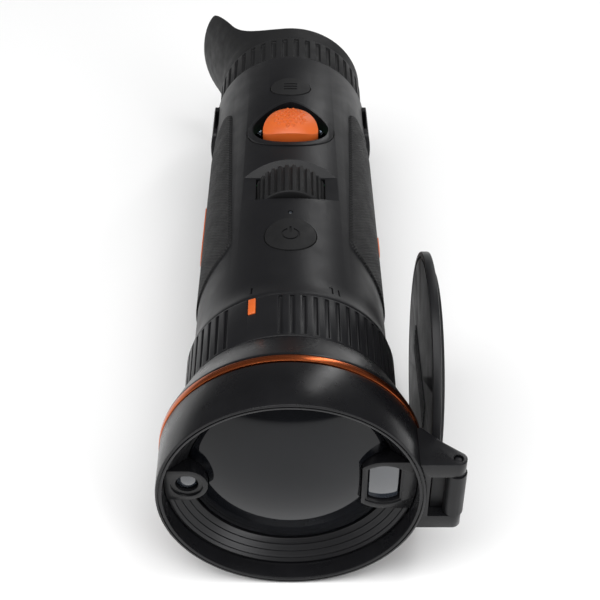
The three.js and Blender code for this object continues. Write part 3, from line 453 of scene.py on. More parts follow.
def tint(material, value, dark, light):
    """The base colour follows a pattern between two colours."""
    ramp = node(material, "ShaderNodeValToRGB")
    ramp.color_ramp.elements[0].position = 0.3
    ramp.color_ramp.elements[0].color = (*dark, 1)
    ramp.color_ramp.elements[1].position = 0.7
    ramp.color_ramp.elements[1].color = (*light, 1)
    link(material, value, ramp.inputs["Fac"])
    link(material, ramp.outputs["Color"], shader_of(material).inputs["Base Color"])


def shader_of(material):
    return material.node_tree.nodes["Principled BSDF"]


def relief(material, value, depth, strength=1.0, under=None):
    """Raises the surface by a pattern, over another pattern's relief if there is one."""
    bump = node(material, "ShaderNodeBump", Strength=strength, Distance=depth * MM)
    link(material, value, bump.inputs["Height"])
    if under:
        link(material, under, bump.inputs["Normal"])
    link(material, bump.outputs["Normal"], shader_of(material).inputs["Normal"])
    return bump.outputs["Normal"]


def around_axis(material):
    """Outputs for the distance from the optical axis, the angle about it and the place along it."""
    parts = node(material, "ShaderNodeSeparateXYZ")
    link(material, object_place(material), parts.inputs["Vector"])
    x, y, z = parts.outputs["X"], parts.outputs["Y"], parts.outputs["Z"]
    height = math_node(material, "SUBTRACT", z, RIM.z)
    angle = math_node(material, "ARCTAN2", x, height)
    distance = math_node(
        material, "SQRT",
        math_node(material, "ADD", math_node(material, "MULTIPLY", x, x),
                  math_node(material, "MULTIPLY", height, height)))
    return distance, angle, y


def lathe_lines(material, scale):
    """Fine rings left by a cutting tool, the same all the way round the optical axis."""
    distance, _, along = around_axis(material)
    rings = node(material, "ShaderNodeCombineXYZ")
    link(material, distance, rings.inputs["X"])
    link(material, along, rings.inputs["Y"])
    return noise(material, scale, 2.0, rings.outputs["Vector"])


# ---------------------------------------------------------------- finishes


def soft_touch_black(name="soft_touch_black"):
    look = new_look(name, (0.006, 0.006, 0.007), 0.42)
    shader = shader_of(look)
    shader.inputs["Specular IOR Level"].default_value = 0.25
    shader.inputs["Sheen Weight"].default_value = 0.015
    shader.inputs["Sheen Roughness"].default_value = 0.4
    wear = noise(look, 55, 3)
    tint(look, wear, (0.005, 0.005, 0.006), (0.0072, 0.0072, 0.0082))
    spread(look, noise(look, 130, 4), 0.37, 0.47, shader.inputs["Roughness"])
    relief(look, noise(look, 3200, 2), 0.035, 0.5)
    return look


def smooth_black_paint():
    look = new_look("smooth_black_paint", (0.005, 0.005, 0.006), 0.28)
    shader = shader_of(look)
    shader.inputs["Specular IOR Level"].default_value = 0.28
    shader.inputs["Coat Weight"].default_value = 0.06
    shader.inputs["Coat Roughness"].default_value = 0.25
    tint(look, noise(look, 70, 3), (0.0042, 0.0042, 0.005), (0.006, 0.006, 0.007))
    spread(look, noise(look, 160, 4), 0.25, 0.33, shader.inputs["Roughness"])
    relief(look, noise(look, 4500, 2), 0.015, 0.4)
    return look


def knurled_grip():
    """Rubber with small diamonds that follow the housing's curve."""
    pitch = 1.5 * MM
    look = new_look("knurled_grip", (0.0065, 0.0065, 0.007), 0.6)
    _, angle, along = around_axis(look)
    round_way = math_node(look, "MULTIPLY", angle, BODY_RADIUS * MM)
    rising = math_node(look, "DIVIDE", math_node(look, "ADD", round_way, along), pitch)
    falling = math_node(look, "DIVIDE", math_node(look, "SUBTRACT", round_way, along), pitch)
    ridge = math_node(look, "MINIMUM", math_node(look, "PINGPONG", rising, 0.5),
                      math_node(look, "PINGPONG", falling, 0.5))
    diamond = math_node(look, "MINIMUM", math_node(look, "MULTIPLY", ridge, 4.0), 1.0)
    shader_of(look).inputs["Specular IOR Level"].default_value = 0.25
    under = relief(look, noise(look, 3000, 2), 0.03, 0.5)
    relief(look, diamond, 0.22, 1.0, under)
    tint(look, noise(look, 45, 3), (0.0055, 0.0055, 0.006), (0.008, 0.008, 0.0085))
    spread(look, noise(look, 200, 3), 0.56, 0.7, shader_of(look).inputs["Roughness"])
    return look


def moulded_rubber():
    look = new_look("moulded_rubber", (0.007, 0.007, 0.0075), 0.55)
    shader = shader_of(look)
    shader.inputs["Specular IOR Level"].default_value = 0.25
    shader.inputs["Sheen Weight"].default_value = 0.03
    shader.inputs["Sheen Roughness"].default_value = 0.35
    tint(look, noise(look, 40, 4), (0.006, 0.006, 0.0065), (0.0095, 0.0095, 0.01))
    spread(look, noise(look, 240, 4), 0.52, 0.68, shader.inputs["Roughness"])
    relief(look, noise(look, 2400, 3), 0.03, 0.45)
    return look


def joystick_orange():
    look = new_look("joystick_orange", (0.56, 0.105, 0.016), 0.45)
    shader = shader_of(look)
    shader.inputs["Subsurface Weight"].default_value = 0.05
    shader.inputs["Subsurface Scale"].default_value = 0.0008
    tint(look, noise(look, 90, 3), (0.52, 0.094, 0.014), (0.6, 0.116, 0.018))
    spread(look, noise(look, 260, 3), 0.37, 0.48, shader.inputs["Roughness"])
    relief(look, noise(look, 3600, 2), 0.02, 0.4)
    return look


def copper_anodised():
    look = new_look("copper_anodised", (0.5, 0.115, 0.035), 0.26, 1.0)
    lines = lathe_lines(look, 9000)
    tint(look, lines, (0.44, 0.095, 0.028), (0.56, 0.14, 0.045))
    spread(look, lines, 0.2, 0.32, shader_of(look).inputs["Roughness"])
    relief(look, lines, 0.006, 0.5)
    return look


def black_anodised():
    look = new_look("black_anodised", (0.008, 0.008, 0.009), 0.36, 0.4)
    lines = lathe_lines(look, 6000)
    tint(look, lines, (0.006, 0.006, 0.007), (0.012, 0.012, 0.0135))
    spread(look, lines, 0.33, 0.42, shader_of(look).inputs["Roughness"])
    relief(look, lines, 0.01, 0.5)
    return look


def coated_germanium():
    look = new_look("coated_germanium", (0.004, 0.0045, 0.006), 0.05)
    shader = shader_of(look)
    shader.inputs["IOR"].default_value = 1.45
    shader.inputs["Specular IOR Level"].default_value = 0.3
    shader.inputs["Coat Weight"].default_value = 0.1
    shader.inputs["Coat Roughness"].default_value = 0.12
    shader.inputs["Coat Tint"].default_value = (0.9, 0.93, 1.0, 1)
    tint(look, noise(look, 30, 2), (0.003, 0.0034, 0.0045), (0.005, 0.0055, 0.007))
    spread(look, noise(look, 500, 5), 0.02, 0.06, shader.inputs["Roughness"])
    return look


def rangefinder_glass():
    look = new_look("rangefinder_glass", (0.012, 0.016, 0.022), 0.04)
    shader = shader_of(look)
    shader.inputs["IOR"].default_value = 1.75
    shader.inputs["Coat Weight"].default_value = 1.0
    shader.inputs["Coat Roughness"].default_value = 0.02
    tint(look, noise(look, 120, 2), (0.010, 0.014, 0.02), (0.03, 0.035, 0.045))
    spread(look, noise(look, 700, 4), 0.02, 0.07, shader.inputs["Roughness"])
    return look


def clear_glass():
    look = new_look("clear_glass", (0.95, 0.97, 0.98), 0.02)
    shader = shader_of(look)
    shader.inputs["IOR"].default_value = 1.5
    shader.inputs["Transmission Weight"].default_value = 0.95
    shader.inputs["Coat Weight"].default_value = 0.5
    shader.inputs["Coat Tint"].default_value = (0.75, 0.85, 1.0, 1)
    spread(look, noise(look, 600, 4), 0.01, 0.04, shader.inputs["Roughness"])
    return look


def dark_screen():
    look = new_look("dark_screen", (0.01, 0.012, 0.018), 0.12)
    shader_of(look).inputs["Coat Weight"].default_value = 0.1
    tint(look, noise(look, 90, 2), (0.008, 0.010, 0.015), (0.016, 0.019, 0.026))
    spread(look, noise(look, 900, 3), 0.08, 0.16, shader_of(look).inputs["Roughness"])
    return look


def ground_steel():
    look = new_look("ground_steel", (0.55, 0.55, 0.57), 0.3, 1.0)
    drawn = node(look, "ShaderNodeMapping")
    drawn.inputs["Scale"].default_value = (1, 0.05, 1)
    link(look, object_place(look), drawn.inputs["Vector"])
    lines = noise(look, 5000, 2, drawn.outputs["Vector"])
    tint(look, lines, (0.45, 0.45, 0.47), (0.62, 0.62, 0.64))
    spread(look, lines, 0.24, 0.4, shader_of(look).inputs["Roughness"])
    relief(look, lines, 0.008, 0.4)
    return look


def turned_brass():
    look = new_look("turned_brass", (0.68, 0.46, 0.17), 0.28, 1.0)
    lines = noise(look, 2600, 3)
    tint(look, lines, (0.6, 0.38, 0.13), (0.74, 0.53, 0.22))
    spread(look, lines, 0.22, 0.4, shader_of(look).inputs["Roughness"])
    relief(look, lines, 0.01, 0.4)
    return look


def circuit_board():
    look = new_look("circuit_board", (0.02, 0.12, 0.05), 0.35)
    traces = node(look, "ShaderNodeTexBrick", Scale=260, Mortar_Size=0.06)
    link(look, object_place(look), traces.inputs["Vector"])
    traces.inputs["Color1"].default_value = (0.015, 0.1, 0.04, 1)
    traces.inputs["Color2"].default_value = (0.02, 0.14, 0.055, 1)
    traces.inputs["Mortar"].default_value = (0.05, 0.2, 0.08, 1)
    link(look, traces.outputs["Color"], shader_of(look).inputs["Base Color"])
    relief(look, traces.outputs["Fac"], 0.03, 0.6)
    spread(look, noise(look, 300, 3), 0.28, 0.45, shader_of(look).inputs["Roughness"])
    return look


def cell_sleeve():
    look = new_look("cell_sleeve", (0.03, 0.08, 0.22), 0.3)
    tint(look, noise(look, 60, 3), (0.024, 0.065, 0.18), (0.036, 0.095, 0.25))
    spread(look, noise(look, 400, 3), 0.22, 0.38, shader_of(look).inputs["Roughness"])
    relief(look, noise(look, 900, 2), 0.02, 0.4)
    return look


def pale_floor():
    look = new_look("pale_floor", (0.86, 0.86, 0.86), 0.6)
    tint(look, noise(look, 3, 2), (0.85, 0.85, 0.85), (0.87, 0.87, 0.87))
    return look


SHELL = soft_touch_black()
PAINT = smooth_black_paint()
GRIP = knurled_grip()
RUBBER = moulded_rubber()
ORANGE = joystick_orange()
TRIM = copper_anodised()
ANODISED = black_anodised()
GERMANIUM = coated_germanium()
WINDOW = rangefinder_glass()
CLEAR = clear_glass()
SCREEN = dark_screen()
STEEL = ground_steel()
BRASS = turned_brass()
BOARD = circuit_board()
SLEEVE = cell_sleeve()


# ---------------------------------------------------------------- hood and objective


def front_hood():
    r = HOOD_RADIUS
    inner = r - 2
    seat = r - 1.1
    piece = turned("hood", [
        (inner, 0.6), (inner + 0.12, 0.18), (inner + 0.45, 0), (r - 1.15, 0), (r - 1.08, 0.5),
        (r - 0.82, 0.5), (r - 0.75, 0), (r - 0.45, 0), (r - 0.13, 0.13), (r, 0.45),
        (r, HOOD_END - 0.35), (r - 0.1, HOOD_END - 0.1), (r - 0.35, HOOD_END),
        (seat, HOOD_END), (seat, HOOD_END + 3), (r - 0.35, HOOD_END + 3),
        (r - 0.1, HOOD_END + 3.1), (r - 0.06, HOOD_END + 3.4), (r - 0.45, HOOD_END + 4.4),
        (RING_RADIUS + 1.1, CONE_END - 1.4), (RING_RADIUS + 0.6, CONE_END - 0.5),
        (RING_RADIUS + 0.3, CONE_END - 0.1), (RING_RADIUS, CONE_END),
        (27.5, CONE_END), (27.5, 17), (30.5, 17), (30.5, 14.4), (inner, 14.4),
    ])
    smooth(piece)
    return finish(piece, PAINT, "camera_body", "shell", "front_hood")


def trim_ring():
    low, high = reach("trim_ring")
    outer = high.x
    inner = HOOD_RADIUS - 0.8
    piece = turned("trim_ring", [
        (inner, low.y), (outer - 0.3, low.y), (outer - 0.08, low.y + 0.08), (outer, low.y + 0.3),
        (outer, high.y - 0.3), (outer - 0.08, high.y - 0.08), (outer - 0.3, high.y), (inner, high.y),
    ])
    smooth(piece)
    return finish(piece, TRIM, "camera_body", "trim", "trim_ring")


TUBE_FRONT = reach("emitter_tube")[0].y
TUBE_BACK = reach("emitter_tube")[1].y
EMITTER_X = -29.4
EMITTER_RADIUS = 6
RECEIVER_X = 26.5
RECEIVER_RADIUS = 9.7
RECEIVER_FLAT = 6.3
LENS_FACE = 29.5
BAFFLE_FRONT, BAFFLE_BACK = reach("baffle_ring")[0].y, reach("baffle_ring")[1].y


def emitter_outline(radius):
    """A bullet that opens towards the hood's wall on the -X side."""
    edge = -HOOD_RADIUS - 2
    return [(edge, radius), (edge, -radius)] + arc(radius, -90, 90, 32, (EMITTER_X, 0))


def receiver_outline(radius, flat):
    """A round boss with a flat inner side, which opens towards the hood's wall on the +X side."""
    corner = math.degrees(math.acos(-flat / radius))
    edge = HOOD_RADIUS + 2
    upper = arc(radius, 90, corner, 20, (RECEIVER_X, 0))
    lower = arc(radius, 360 - corner, 270, 20, (RECEIVER_X, 0))
    return [(edge, -radius), (edge, radius)] + upper + lower


def tube_notches():
    """Room for the two rangefinder tubes, cut from the pieces behind them."""
    back = TUBE_BACK + CLEARANCE
    emitter = emitter_outline(EMITTER_RADIUS + CLEARANCE)
    receiver = receiver_outline(RECEIVER_RADIUS + CLEARANCE, RECEIVER_FLAT + CLEARANCE)
    return slab("notch", emitter, "y", 0, back), slab("notch", receiver, "y", 0, back)


def hood_bore(name, front, back):
    return bar(name, HOOD_RADIUS - 2.3, (0, front, 0), (0, back, 0), ROUND)


def baffle_ring():
    """A dark cone with cut steps, notched round the two rangefinder tubes."""
    outer = HOOD_RADIUS - 2.3
    inner = LENS_FACE + 0.3
    edge = BAFFLE_FRONT + 4.5
    section = [(outer, BAFFLE_FRONT + 0.2), (outer - 0.25, BAFFLE_FRONT), (outer - 0.75, BAFFLE_FRONT)]
    steps = 3
    for step in range(steps):
        share = (step + 0.45) / steps
        radius = mix(outer - 0.9, inner + 0.5, share)
        y = mix(BAFFLE_FRONT + 0.1, edge - 0.3, share)
        section += [(radius + 0.14, y - 0.1), (radius + 0.07, y + 0.25), (radius - 0.07, y + 0.28),
                    (radius - 0.14, y + 0.07)]
    section += [(inner + 0.25, edge - 0.15), (inner, edge + 0.15)]
    section += [(inner, BAFFLE_BACK), (outer, BAFFLE_BACK)]
    piece = turned("baffle_ring", section)
    cut(piece, *tube_notches())
    smooth(piece, 25)
    return finish(piece, ANODISED, "camera_body", "aluminium", "baffle_ring")


def emitter_tube():
    piece = slab("emitter_tube", emitter_outline(EMITTER_RADIUS), "y", TUBE_FRONT, TUBE_BACK)
    combine(piece, hood_bore("bore", 0, 30), "INTERSECT")
    cut(piece, bar("bore", 3.3, (EMITTER_X, 0, 0), (EMITTER_X, 30, 0)),
        turned("mouth", [(0.05, 0), (5.1, 0), (4.6, TUBE_FRONT + 0.7), (0.05, TUBE_FRONT + 0.7)],
               (EMITTER_X, 0, 0), sides=64, solid=True))
    soften(piece, 0.25, 3)
    return finish(piece, PAINT, "camera_body", "shell", "emitter_tube")


def receiver_bore(name, radius, half_width, front, back):
    tool = bar(name, radius, (RECEIVER_X, front, 0), (RECEIVER_X, back, 0), 96)
    walls = box("walls", (RECEIVER_X - half_width, RECEIVER_X + half_width), (0, 40), (-20, 20))
    return combine(tool, walls, "INTERSECT")


def receiver_tube():
    outline = receiver_outline(RECEIVER_RADIUS, RECEIVER_FLAT)
    piece = slab("receiver_tube", outline, "y", TUBE_FRONT, TUBE_BACK)
    combine(piece, hood_bore("bore", 0, 30), "INTERSECT")
    cut(piece, receiver_bore("bore", 7.7, 4.7, 0, 30),
        receiver_bore("mouth", 8.2, 5.2, 0, TUBE_FRONT + 0.5))
    soften(piece, 0.25, 3)
    return finish(piece, PAINT, "camera_body", "shell", "receiver_tube")


def emitter_lens():
    low, high = reach("emitter_lens")
    front = low.y
    piece = turned("emitter_lens", [
        (0.05, front - 0.5), (0.8, front - 0.46), (1.6, front - 0.32), (2.3, front - 0.08),
        (2.8, front + 0.2), (3.0, front + 0.4), (3.0, high.y), (0.05, high.y),
    ], (EMITTER_X, 0, 0), sides=48, solid=True)
    smooth(piece)
    return finish(piece, WINDOW, "camera_body", "glass", "emitter_lens")


def receiver_lens():
    low, high = reach("receiver_lens")
    piece = receiver_bore("receiver_lens", 7.4, 4.4, low.y, high.y)
    soften(piece, 0.35, 3)
    return finish(piece, WINDOW, "camera_body", "glass", "receiver_lens")


def dome(radius, edge, height, steps):
    """Section points of a round cap from next to the axis out to its edge."""
    sphere = (radius ** 2 + height ** 2) / (2 * height)
    half = math.asin(radius / sphere)
    points = []
    for i in range(steps + 1):
        angle = max(half * i / steps, 0.0006)
        points.append((sphere * math.sin(angle), edge - height + sphere * (1 - math.cos(angle))))
    return points


def objective_lens():
    low, high = reach("objective_lens")
    edge = BAFFLE_FRONT + 4.8
    back = high.y
    section = dome(LENS_FACE - 0.5, edge - 0.1, edge - 0.1 - low.y, 26)
    section += [(LENS_FACE - 0.1, edge + 0.2), (LENS_FACE, edge + 0.6), (LENS_FACE, 14.4),
                (30.2, 14.4), (30.2, back), (25.2, back)]
    section += [(r, y) for r, y in reversed(dome(25.2, back, 3.6, 10))][1:]
    piece = turned("objective_lens", section, solid=True)
    cut(piece, *tube_notches())
    smooth(piece)
    return finish(piece, GERMANIUM, "camera_body", "germanium", "objective_lens")


# ---------------------------------------------------------------- lens cap and its hinge

PIN_LOW, PIN_HIGH = reach("hinge_pin")
PIN_X = middle_of("hinge_pin").x
PIN_Y = middle_of("hinge_pin").y
EAR_HALF = 13.3
ARM_HALF = 8
CAP_OUTER = reach("lens_cap")[0].x
CAP_INNER = CAP_OUTER + 2.5
CAP_HUB = (0, PIN_Y + 46.3, 0)


def hinge_bracket():
    front = 1
    nose = PIN_Y - front
    profile = [(HOOD_RADIUS - 5, front)]
    profile += arc(nose, -90, 45, 16, (PIN_X, PIN_Y))
    profile += [(HOOD_RADIUS + 4.2, front + 8.8)]
    profile += [(HOOD_RADIUS - 1, front + 14), (HOOD_RADIUS - 5, front + 14)]
    piece = slab("hinge_bracket", profile, "z", -EAR_HALF, EAR_HALF)
    gap = ARM_HALF + 0.3
    cut(piece,
        box("window", (HOOD_RADIUS + 0.9, PIN_X + 20), (-20, 40), (-gap, gap)),
        bar("hood", HOOD_RADIUS + 0.05, (0, -20, 0), (0, 40, 0), ROUND))
    soften(piece, 0.45, 3)
    cut(piece, bar("bore", 1.45, (PIN_X, PIN_Y, -20), (PIN_X, PIN_Y, 20), 32))
    smooth(piece)
    return finish(piece, PAINT, "camera_body", "shell", "hinge_bracket")


def hinge_pin():
    piece = bar("hinge_pin", 1.2, (PIN_X, PIN_Y, PIN_LOW.z), (PIN_X, PIN_Y, PIN_HIGH.z), 32)
    soften(piece, 0.25, 2)
    return finish(piece, ANODISED, "camera_body", "steel", "hinge_pin")


def lens_cap():
    """A flat disc with a stepped edge, whose arm runs to the pin. It rests folded back."""
    r = reach("cap_seal")[1].z + 4.7
    outer, inner = CAP_OUTER, CAP_INNER
    piece = turned("lens_cap", [
        (0.05, outer), (r - 2.4, outer), (r - 2.4, outer + 0.55), (r - 1.5, outer + 0.55),
        (r - 1.5, outer), (r - 0.4, outer), (r - 0.12, outer + 0.12), (r, outer + 0.4),
        (r, inner - 0.45), (r - 0.12, inner - 0.12),
        (r - 0.45, inner), (33.8, inner), (33.8, inner - 1.1), (31.6, inner - 1.1),
        (31.6, inner), (0.05, inner),
    ], CAP_HUB, "x", ROUND, solid=True)
    arm = box("arm", (outer, inner), (PIN_Y + 0.9, PIN_Y + 16), (-ARM_HALF, ARM_HALF))
    neck = box("neck", (outer, PIN_X), (PIN_Y + 0.9, PIN_Y + 2.9), (-ARM_HALF, ARM_HALF))
    knuckle = bar("knuckle", 2.9, (PIN_X, PIN_Y, -ARM_HALF), (PIN_X, PIN_Y, ARM_HALF), 64)
    for part in (arm, neck, knuckle):
        combine(piece, part, "UNION")
    cut(piece, bar("bore", 1.45, (PIN_X, PIN_Y, -20), (PIN_X, PIN_Y, 20), 32))
    middle = CAP_HUB[1]
    for i in range(5):
        z = -4 + 2 * i
        ridge = box("ridge", (outer - 0.3, outer + 0.4), (middle - 18, middle + 18), (z - 0.45, z + 0.45))
        combine(piece, ridge, "UNION")
    soften(piece, 0.2, 2, 40)
    return finish(piece, SHELL, "lens_cap", "shell", "lens_cap")


def cap_seal():
    low, high = reach("cap_seal")
    outer = high.z
    inner = outer - 1.6
    mid = (outer + inner) / 2
    piece = turned("cap_seal", [
        (inner, low.x), (inner, high.x - 0.6), (inner + 0.3, high.x - 0.2), (mid, high.x),
        (outer - 0.3, high.x - 0.2), (outer, high.x - 0.6), (outer, low.x),
    ], CAP_HUB, "x")
    smooth(piece, 50)
    return finish(piece, RUBBER, "lens_cap", "rubber", "cap_seal")


# ---------------------------------------------------------------- zoom ring

GROOVE_PLACES = 58
GROOVE_PITCH = 360 / GROOVE_PLACES
INDEX_ANGLE = 20.8


def zoom_ring():
    r = RING_RADIUS
    piece = turned("zoom_ring", [
        (27.5, RING_START), (r - 0.55, RING_START), (r - 0.15, RING_START + 0.15),
        (r, RING_START + 0.55), (r, RING_END - 0.55), (r - 0.15, RING_END - 0.15),
        (r - 0.55, RING_END), (27.5, RING_END),
    ], sides=GROOVE_PLACES * 4)
    groove = box("groove", (-0.6, 0.6), (RING_START + 1, RING_END - 0.8), (r - 0.7, r + 2))
    soften(groove, 0.25, 2)
    angles = [(place + 0.5) * GROOVE_PITCH - INDEX_ANGLE for place in range(2, GROOVE_PLACES - 2)]
    cut(piece, repeat_about("grooves", groove, angles))
    low, high = reach("fov_index")
    seat = box("seat", (-1.4, 1.4), (low.y - 0.25, high.y + 0.25), (r - 0.7, r + 2))
    cut(piece, turn_about(seat, -INDEX_ANGLE))
    soften(piece, 0.12, 2, 30)
    return finish(piece, SHELL, "fov_ring", "shell", "fov_ring")


def zoom_index():
    low, high = reach("fov_index")
    piece = box("zoom_index", (-1.15, 1.15), (low.y, high.y), (RING_RADIUS - 0.7, RING_RADIUS + 0.2))
    soften(piece, 0.25, 3)
    turn_about(piece, -INDEX_ANGLE)
    return finish(piece, ORANGE, "fov_ring", "orange", "fov_index")


# ---------------------------------------------------------------- housing

PANEL_FRONT = 76
PANEL_REAR = MENU_Y - 1.6
LUG_LOW, LUG_HIGH = reach("strap_lug_right")
LUG_OUTER = body_radius(LUG_LOW.y) + 1.4
POCKET_FLOOR = body_radius((WHEEL_LOW.y + WHEEL_HIGH.y) / 2) - 4.6
POCKET_FRONT = WHEEL_LOW.y - 1.4
POCKET_REAR = WHEEL_HIGH.y + 5.7
WHEEL_RADIUS = 12
WHEEL_Z = WHEEL_HIGH.z - WHEEL_RADIUS


def body_skin(name, drop, rise, front=COLLAR_END, back=BODY_END):
    return turned(name, [
        (body_radius(front) - drop, front), (body_radius(front) + rise, front),
        (body_radius(back) + rise, back), (body_radius(back) - drop, back),
    ])


def body_core(name, rise, front=BODY_START, back=BODY_END):
    return turned(name, [
        (0.05, front), (body_radius(front) + rise, front),
        (body_radius(back) + rise, back), (0.05, back),
    ], solid=True)


def panel_outline(inset):
    top = BODY_RADIUS - 6.8
    rear_top = BODY_RADIUS - 10.7
    half = [
        (PANEL_FRONT + inset, 8), (79 + inset, 16), (82.5 + inset * 0.7, top - 2 - inset * 0.7),
        (86, top - inset), (PANEL_REAR - 4, rear_top - inset), (PANEL_REAR - 1 - inset, rear_top - 1.2),
        (PANEL_REAR - inset, rear_top - 4), (PANEL_REAR - 12 - inset, 6),
    ]
    mirrored = [(y, -z) for y, z in reversed(half)]
    return round_corners(half + mirrored, 3.2)


def side_tool(name, outline, side, skin):
    """The part of a skin that an outline seen from the side takes in."""
    low, high = (-60, -8) if side < 0 else (8, 60)
    return combine(slab(name, outline, "x", low, high), skin, "INTERSECT")


def accent_outline(side, grow):
    length = 30.8 if side < 0 else 9.1
    start = WHEEL_LOW.y + (0 if side < 0 else 5)
    half = 2.2 + grow
    return (arc(half, 90, 270, 16, (start + 2.2, 0)) + arc(half, -90, 90, 16, (start + length - 2.2, 0)))


def lug_outline(grow):
    low, high = LUG_LOW.y - grow, LUG_HIGH.y + grow
    half = 7.4 + grow
    return round_corners([(low, -half), (high, -half), (high, half), (low, half)], 2.6)


def strap_slot(side):
    inner, outer = sorted((side * (LUG_OUTER - 1.3), side * (LUG_OUTER - 2.9)))
    middle = (LUG_LOW.y + LUG_HIGH.y) / 2
    return box("slot", (inner, outer), (middle - 6, middle + 6), (-13, 13))


def housing_blank():
    outer = [
        (31.1, BODY_START), (31.45, BODY_START + 0.15), (31.6, BODY_START + 0.5),
        (31.5, BODY_START + 1.4), (31.2, BODY_START + 2.6), (30.75, BODY_START + 4.4),
        (30.45, BODY_START + 6.4), (30.28, BODY_START + 8.2), (30.2, COLLAR_END),
        (BODY_REAR_RADIUS + 0.02, BODY_END - 0.6), (BODY_REAR_RADIUS - 0.15, BODY_END - 0.15),
        (BODY_REAR_RADIUS - 0.55, BODY_END),
    ]
    inner = [
        (BODY_REAR_RADIUS - BODY_WALL, BODY_END), (BODY_RADIUS - BODY_WALL, COLLAR_END + 2),
        (27.5, COLLAR_END + 0.3), (27.5, BODY_START),
    ]
    piece = turned("housing", outer + inner)
    for side in (-1, 1):
        cut(piece, side_tool("recess", panel_outline(0), side, body_skin("skin", 1, 3)))
        low, high = (-60, -15) if side < 0 else (15, 60)
        cut(piece, slab("window", lug_outline(0.25), "x", low, high), strap_slot(side))
    return piece


def upper_housing(blank):
    top_half = box("half", (-60, 60), (0, 260), (0.08, 60))
    half = combine(copy_of(blank, "upper_housing"), top_half, "INTERSECT")
    wide = math.sqrt(body_radius(POCKET_FRONT) ** 2 - POCKET_FLOOR ** 2) + 1.4
    boss = box("boss", (-wide, wide), (POCKET_FRONT - 2, POCKET_REAR + 2), (POCKET_FLOOR - BODY_WALL, 40))
    combine(boss, body_core("core", -0.05), "INTERSECT")
    combine(half, boss, "UNION")
    depth = 4.6
    rise = 14
    cut(half,
        slab("pocket", [
            (POCKET_FRONT + depth, POCKET_FLOOR), (POCKET_FRONT + depth - rise, POCKET_FLOOR + rise),
            (POCKET_REAR - depth + rise, POCKET_FLOOR + rise), (POCKET_REAR - depth, POCKET_FLOOR),
        ], "x", -60, 60),
        bar("wheel_slot", WHEEL_RADIUS + 0.8, (0, WHEEL_LOW.y - CLEARANCE, WHEEL_Z),
            (0, WHEEL_HIGH.y + CLEARANCE, WHEEL_Z), 96),
        slab("power_hole", power_outline(CLEARANCE), "z", 15, 60),
        slab("menu_hole", menu_outline(CLEARANCE), "z", 15, 60),
        slab("stick_hole", bezel_outline(CLEARANCE), "z", 15, 60),
        slab("light_hole", ellipse(0.8, 0.8, LIGHT_Y, 24), "z", 15, 60))
    soften(half, 0.3, 2, 30)
    cut(half, *scale_marks())
    smooth(half, 30)
    return finish(half, SHELL, "camera_body", "shell", "upper_housing")


def scale_marks():
    """One stroke and one pair of strokes behind the zoom ring, as plain marks for its two ends."""
    marks = []
    for angle, start, end in ((-22.3, 2.7, 6.2), (24.2, 3.5, 6.9), (28.3, 3.5, 6.9)):
        mark = box("mark", (-0.28, 0.28), (BODY_START + start, BODY_START + end), (29.95, 34))
        marks.append(turn_about(mark, angle))
    foot = box("mark", (-1.0, 0.28), (BODY_START + 6.4, BODY_START + 6.95), (29.95, 34))
    marks.append(turn_about(foot, 24.2))
    return marks


PORT_LOW, PORT_HIGH = reach("usb_cover")
SOCKET_LOW, SOCKET_HIGH = reach("usb_socket")
COVER_FLOOR = -(BODY_REAR_RADIUS - 2)
CASE_SCREWS = ("case_screw_front", "case_screw_rear")


def lower_housing(blank):
    half = combine(blank, box("half", (-60, 60), (0, 260), (-60, -0.08)), "INTERSECT")
    half.name = "lower_housing"
    cover = PORT_HIGH.x
    boss = box("boss", (-cover - 2, cover + 2), (PORT_LOW.y - 2, PORT_HIGH.y + 2), (-60, COVER_FLOOR + 3))
    combine(half, combine(boss, body_core("core", -0.05), "INTERSECT"), "UNION")
    cut(half,
        box("cover_seat", (-cover - 0.3, cover + 0.3),
            (PORT_LOW.y - 3, PORT_HIGH.y + 0.3), (-60, COVER_FLOOR)),
        box("socket_hole", (SOCKET_LOW.x - 0.3, SOCKET_HIGH.x + 0.3),
            (SOCKET_LOW.y - 0.3, SOCKET_HIGH.y + 0.3), (-60, 0)))
    for node_name in CASE_SCREWS:
        y = middle_of(node_name).y
        cut(half, bar("screw_hole", 1.7, (0, y, -60), (0, y, -20), 32))
    soften(half, 0.3, 2, 30)
    return finish(half, SHELL, "camera_body", "shell", "lower_housing")


def grip_panel(side, label):
    piece = side_tool("grip_panel_" + label, panel_outline(0.3), side, body_skin("skin", 0.7, 0.6))
    cut(piece, side_tool("accent_seat", accent_outline(side, 0.3), side, body_skin("skin", 6, 6)))
    soften(piece, 0.45, 3, 30)
    return finish(piece, GRIP, "camera_body", "rubber", "grip_panel_" + label)


def side_accent(side, label):
    piece = side_tool("side_accent_" + label, accent_outline(side, 0), side, body_skin("skin", 0.7, 1))
    soften(piece, 0.4, 3, 30)
    return finish(piece, ORANGE, "camera_body", "orange", "side_accent_" + label)


def strap_lug(side, label):
    piece = slab("strap_lug_" + label, lug_outline(0), "x", *sorted((side * (LUG_OUTER - 3.8), side * 60)))
    combine(piece, body_core("core", 1.4), "INTERSECT")
    cut(piece, strap_slot(side))
    soften(piece, 0.5, 3, 30)
    return finish(piece, SHELL, "camera_body", "shell", "strap_lug_" + label)


# ---------------------------------------------------------------- keys and light


def key_blank(name, outline, grown_outline, y, half_x):
    """A key whose top follows the housing, over a flange under the wall."""
    edge = math.sqrt((body_radius(y) - BODY_WALL) ** 2 - (half_x + KEY_SKIRT) ** 2) - CLEARANCE
    piece = slab(name, outline, "z", edge - 1, 60)
    combine(piece, body_core("core", 0.3), "INTERSECT")
    soften(piece, 0.4, 3, 30)
    combine(piece, slab("flange", grown_outline, "z", edge - 1, edge), "UNION")
    return piece


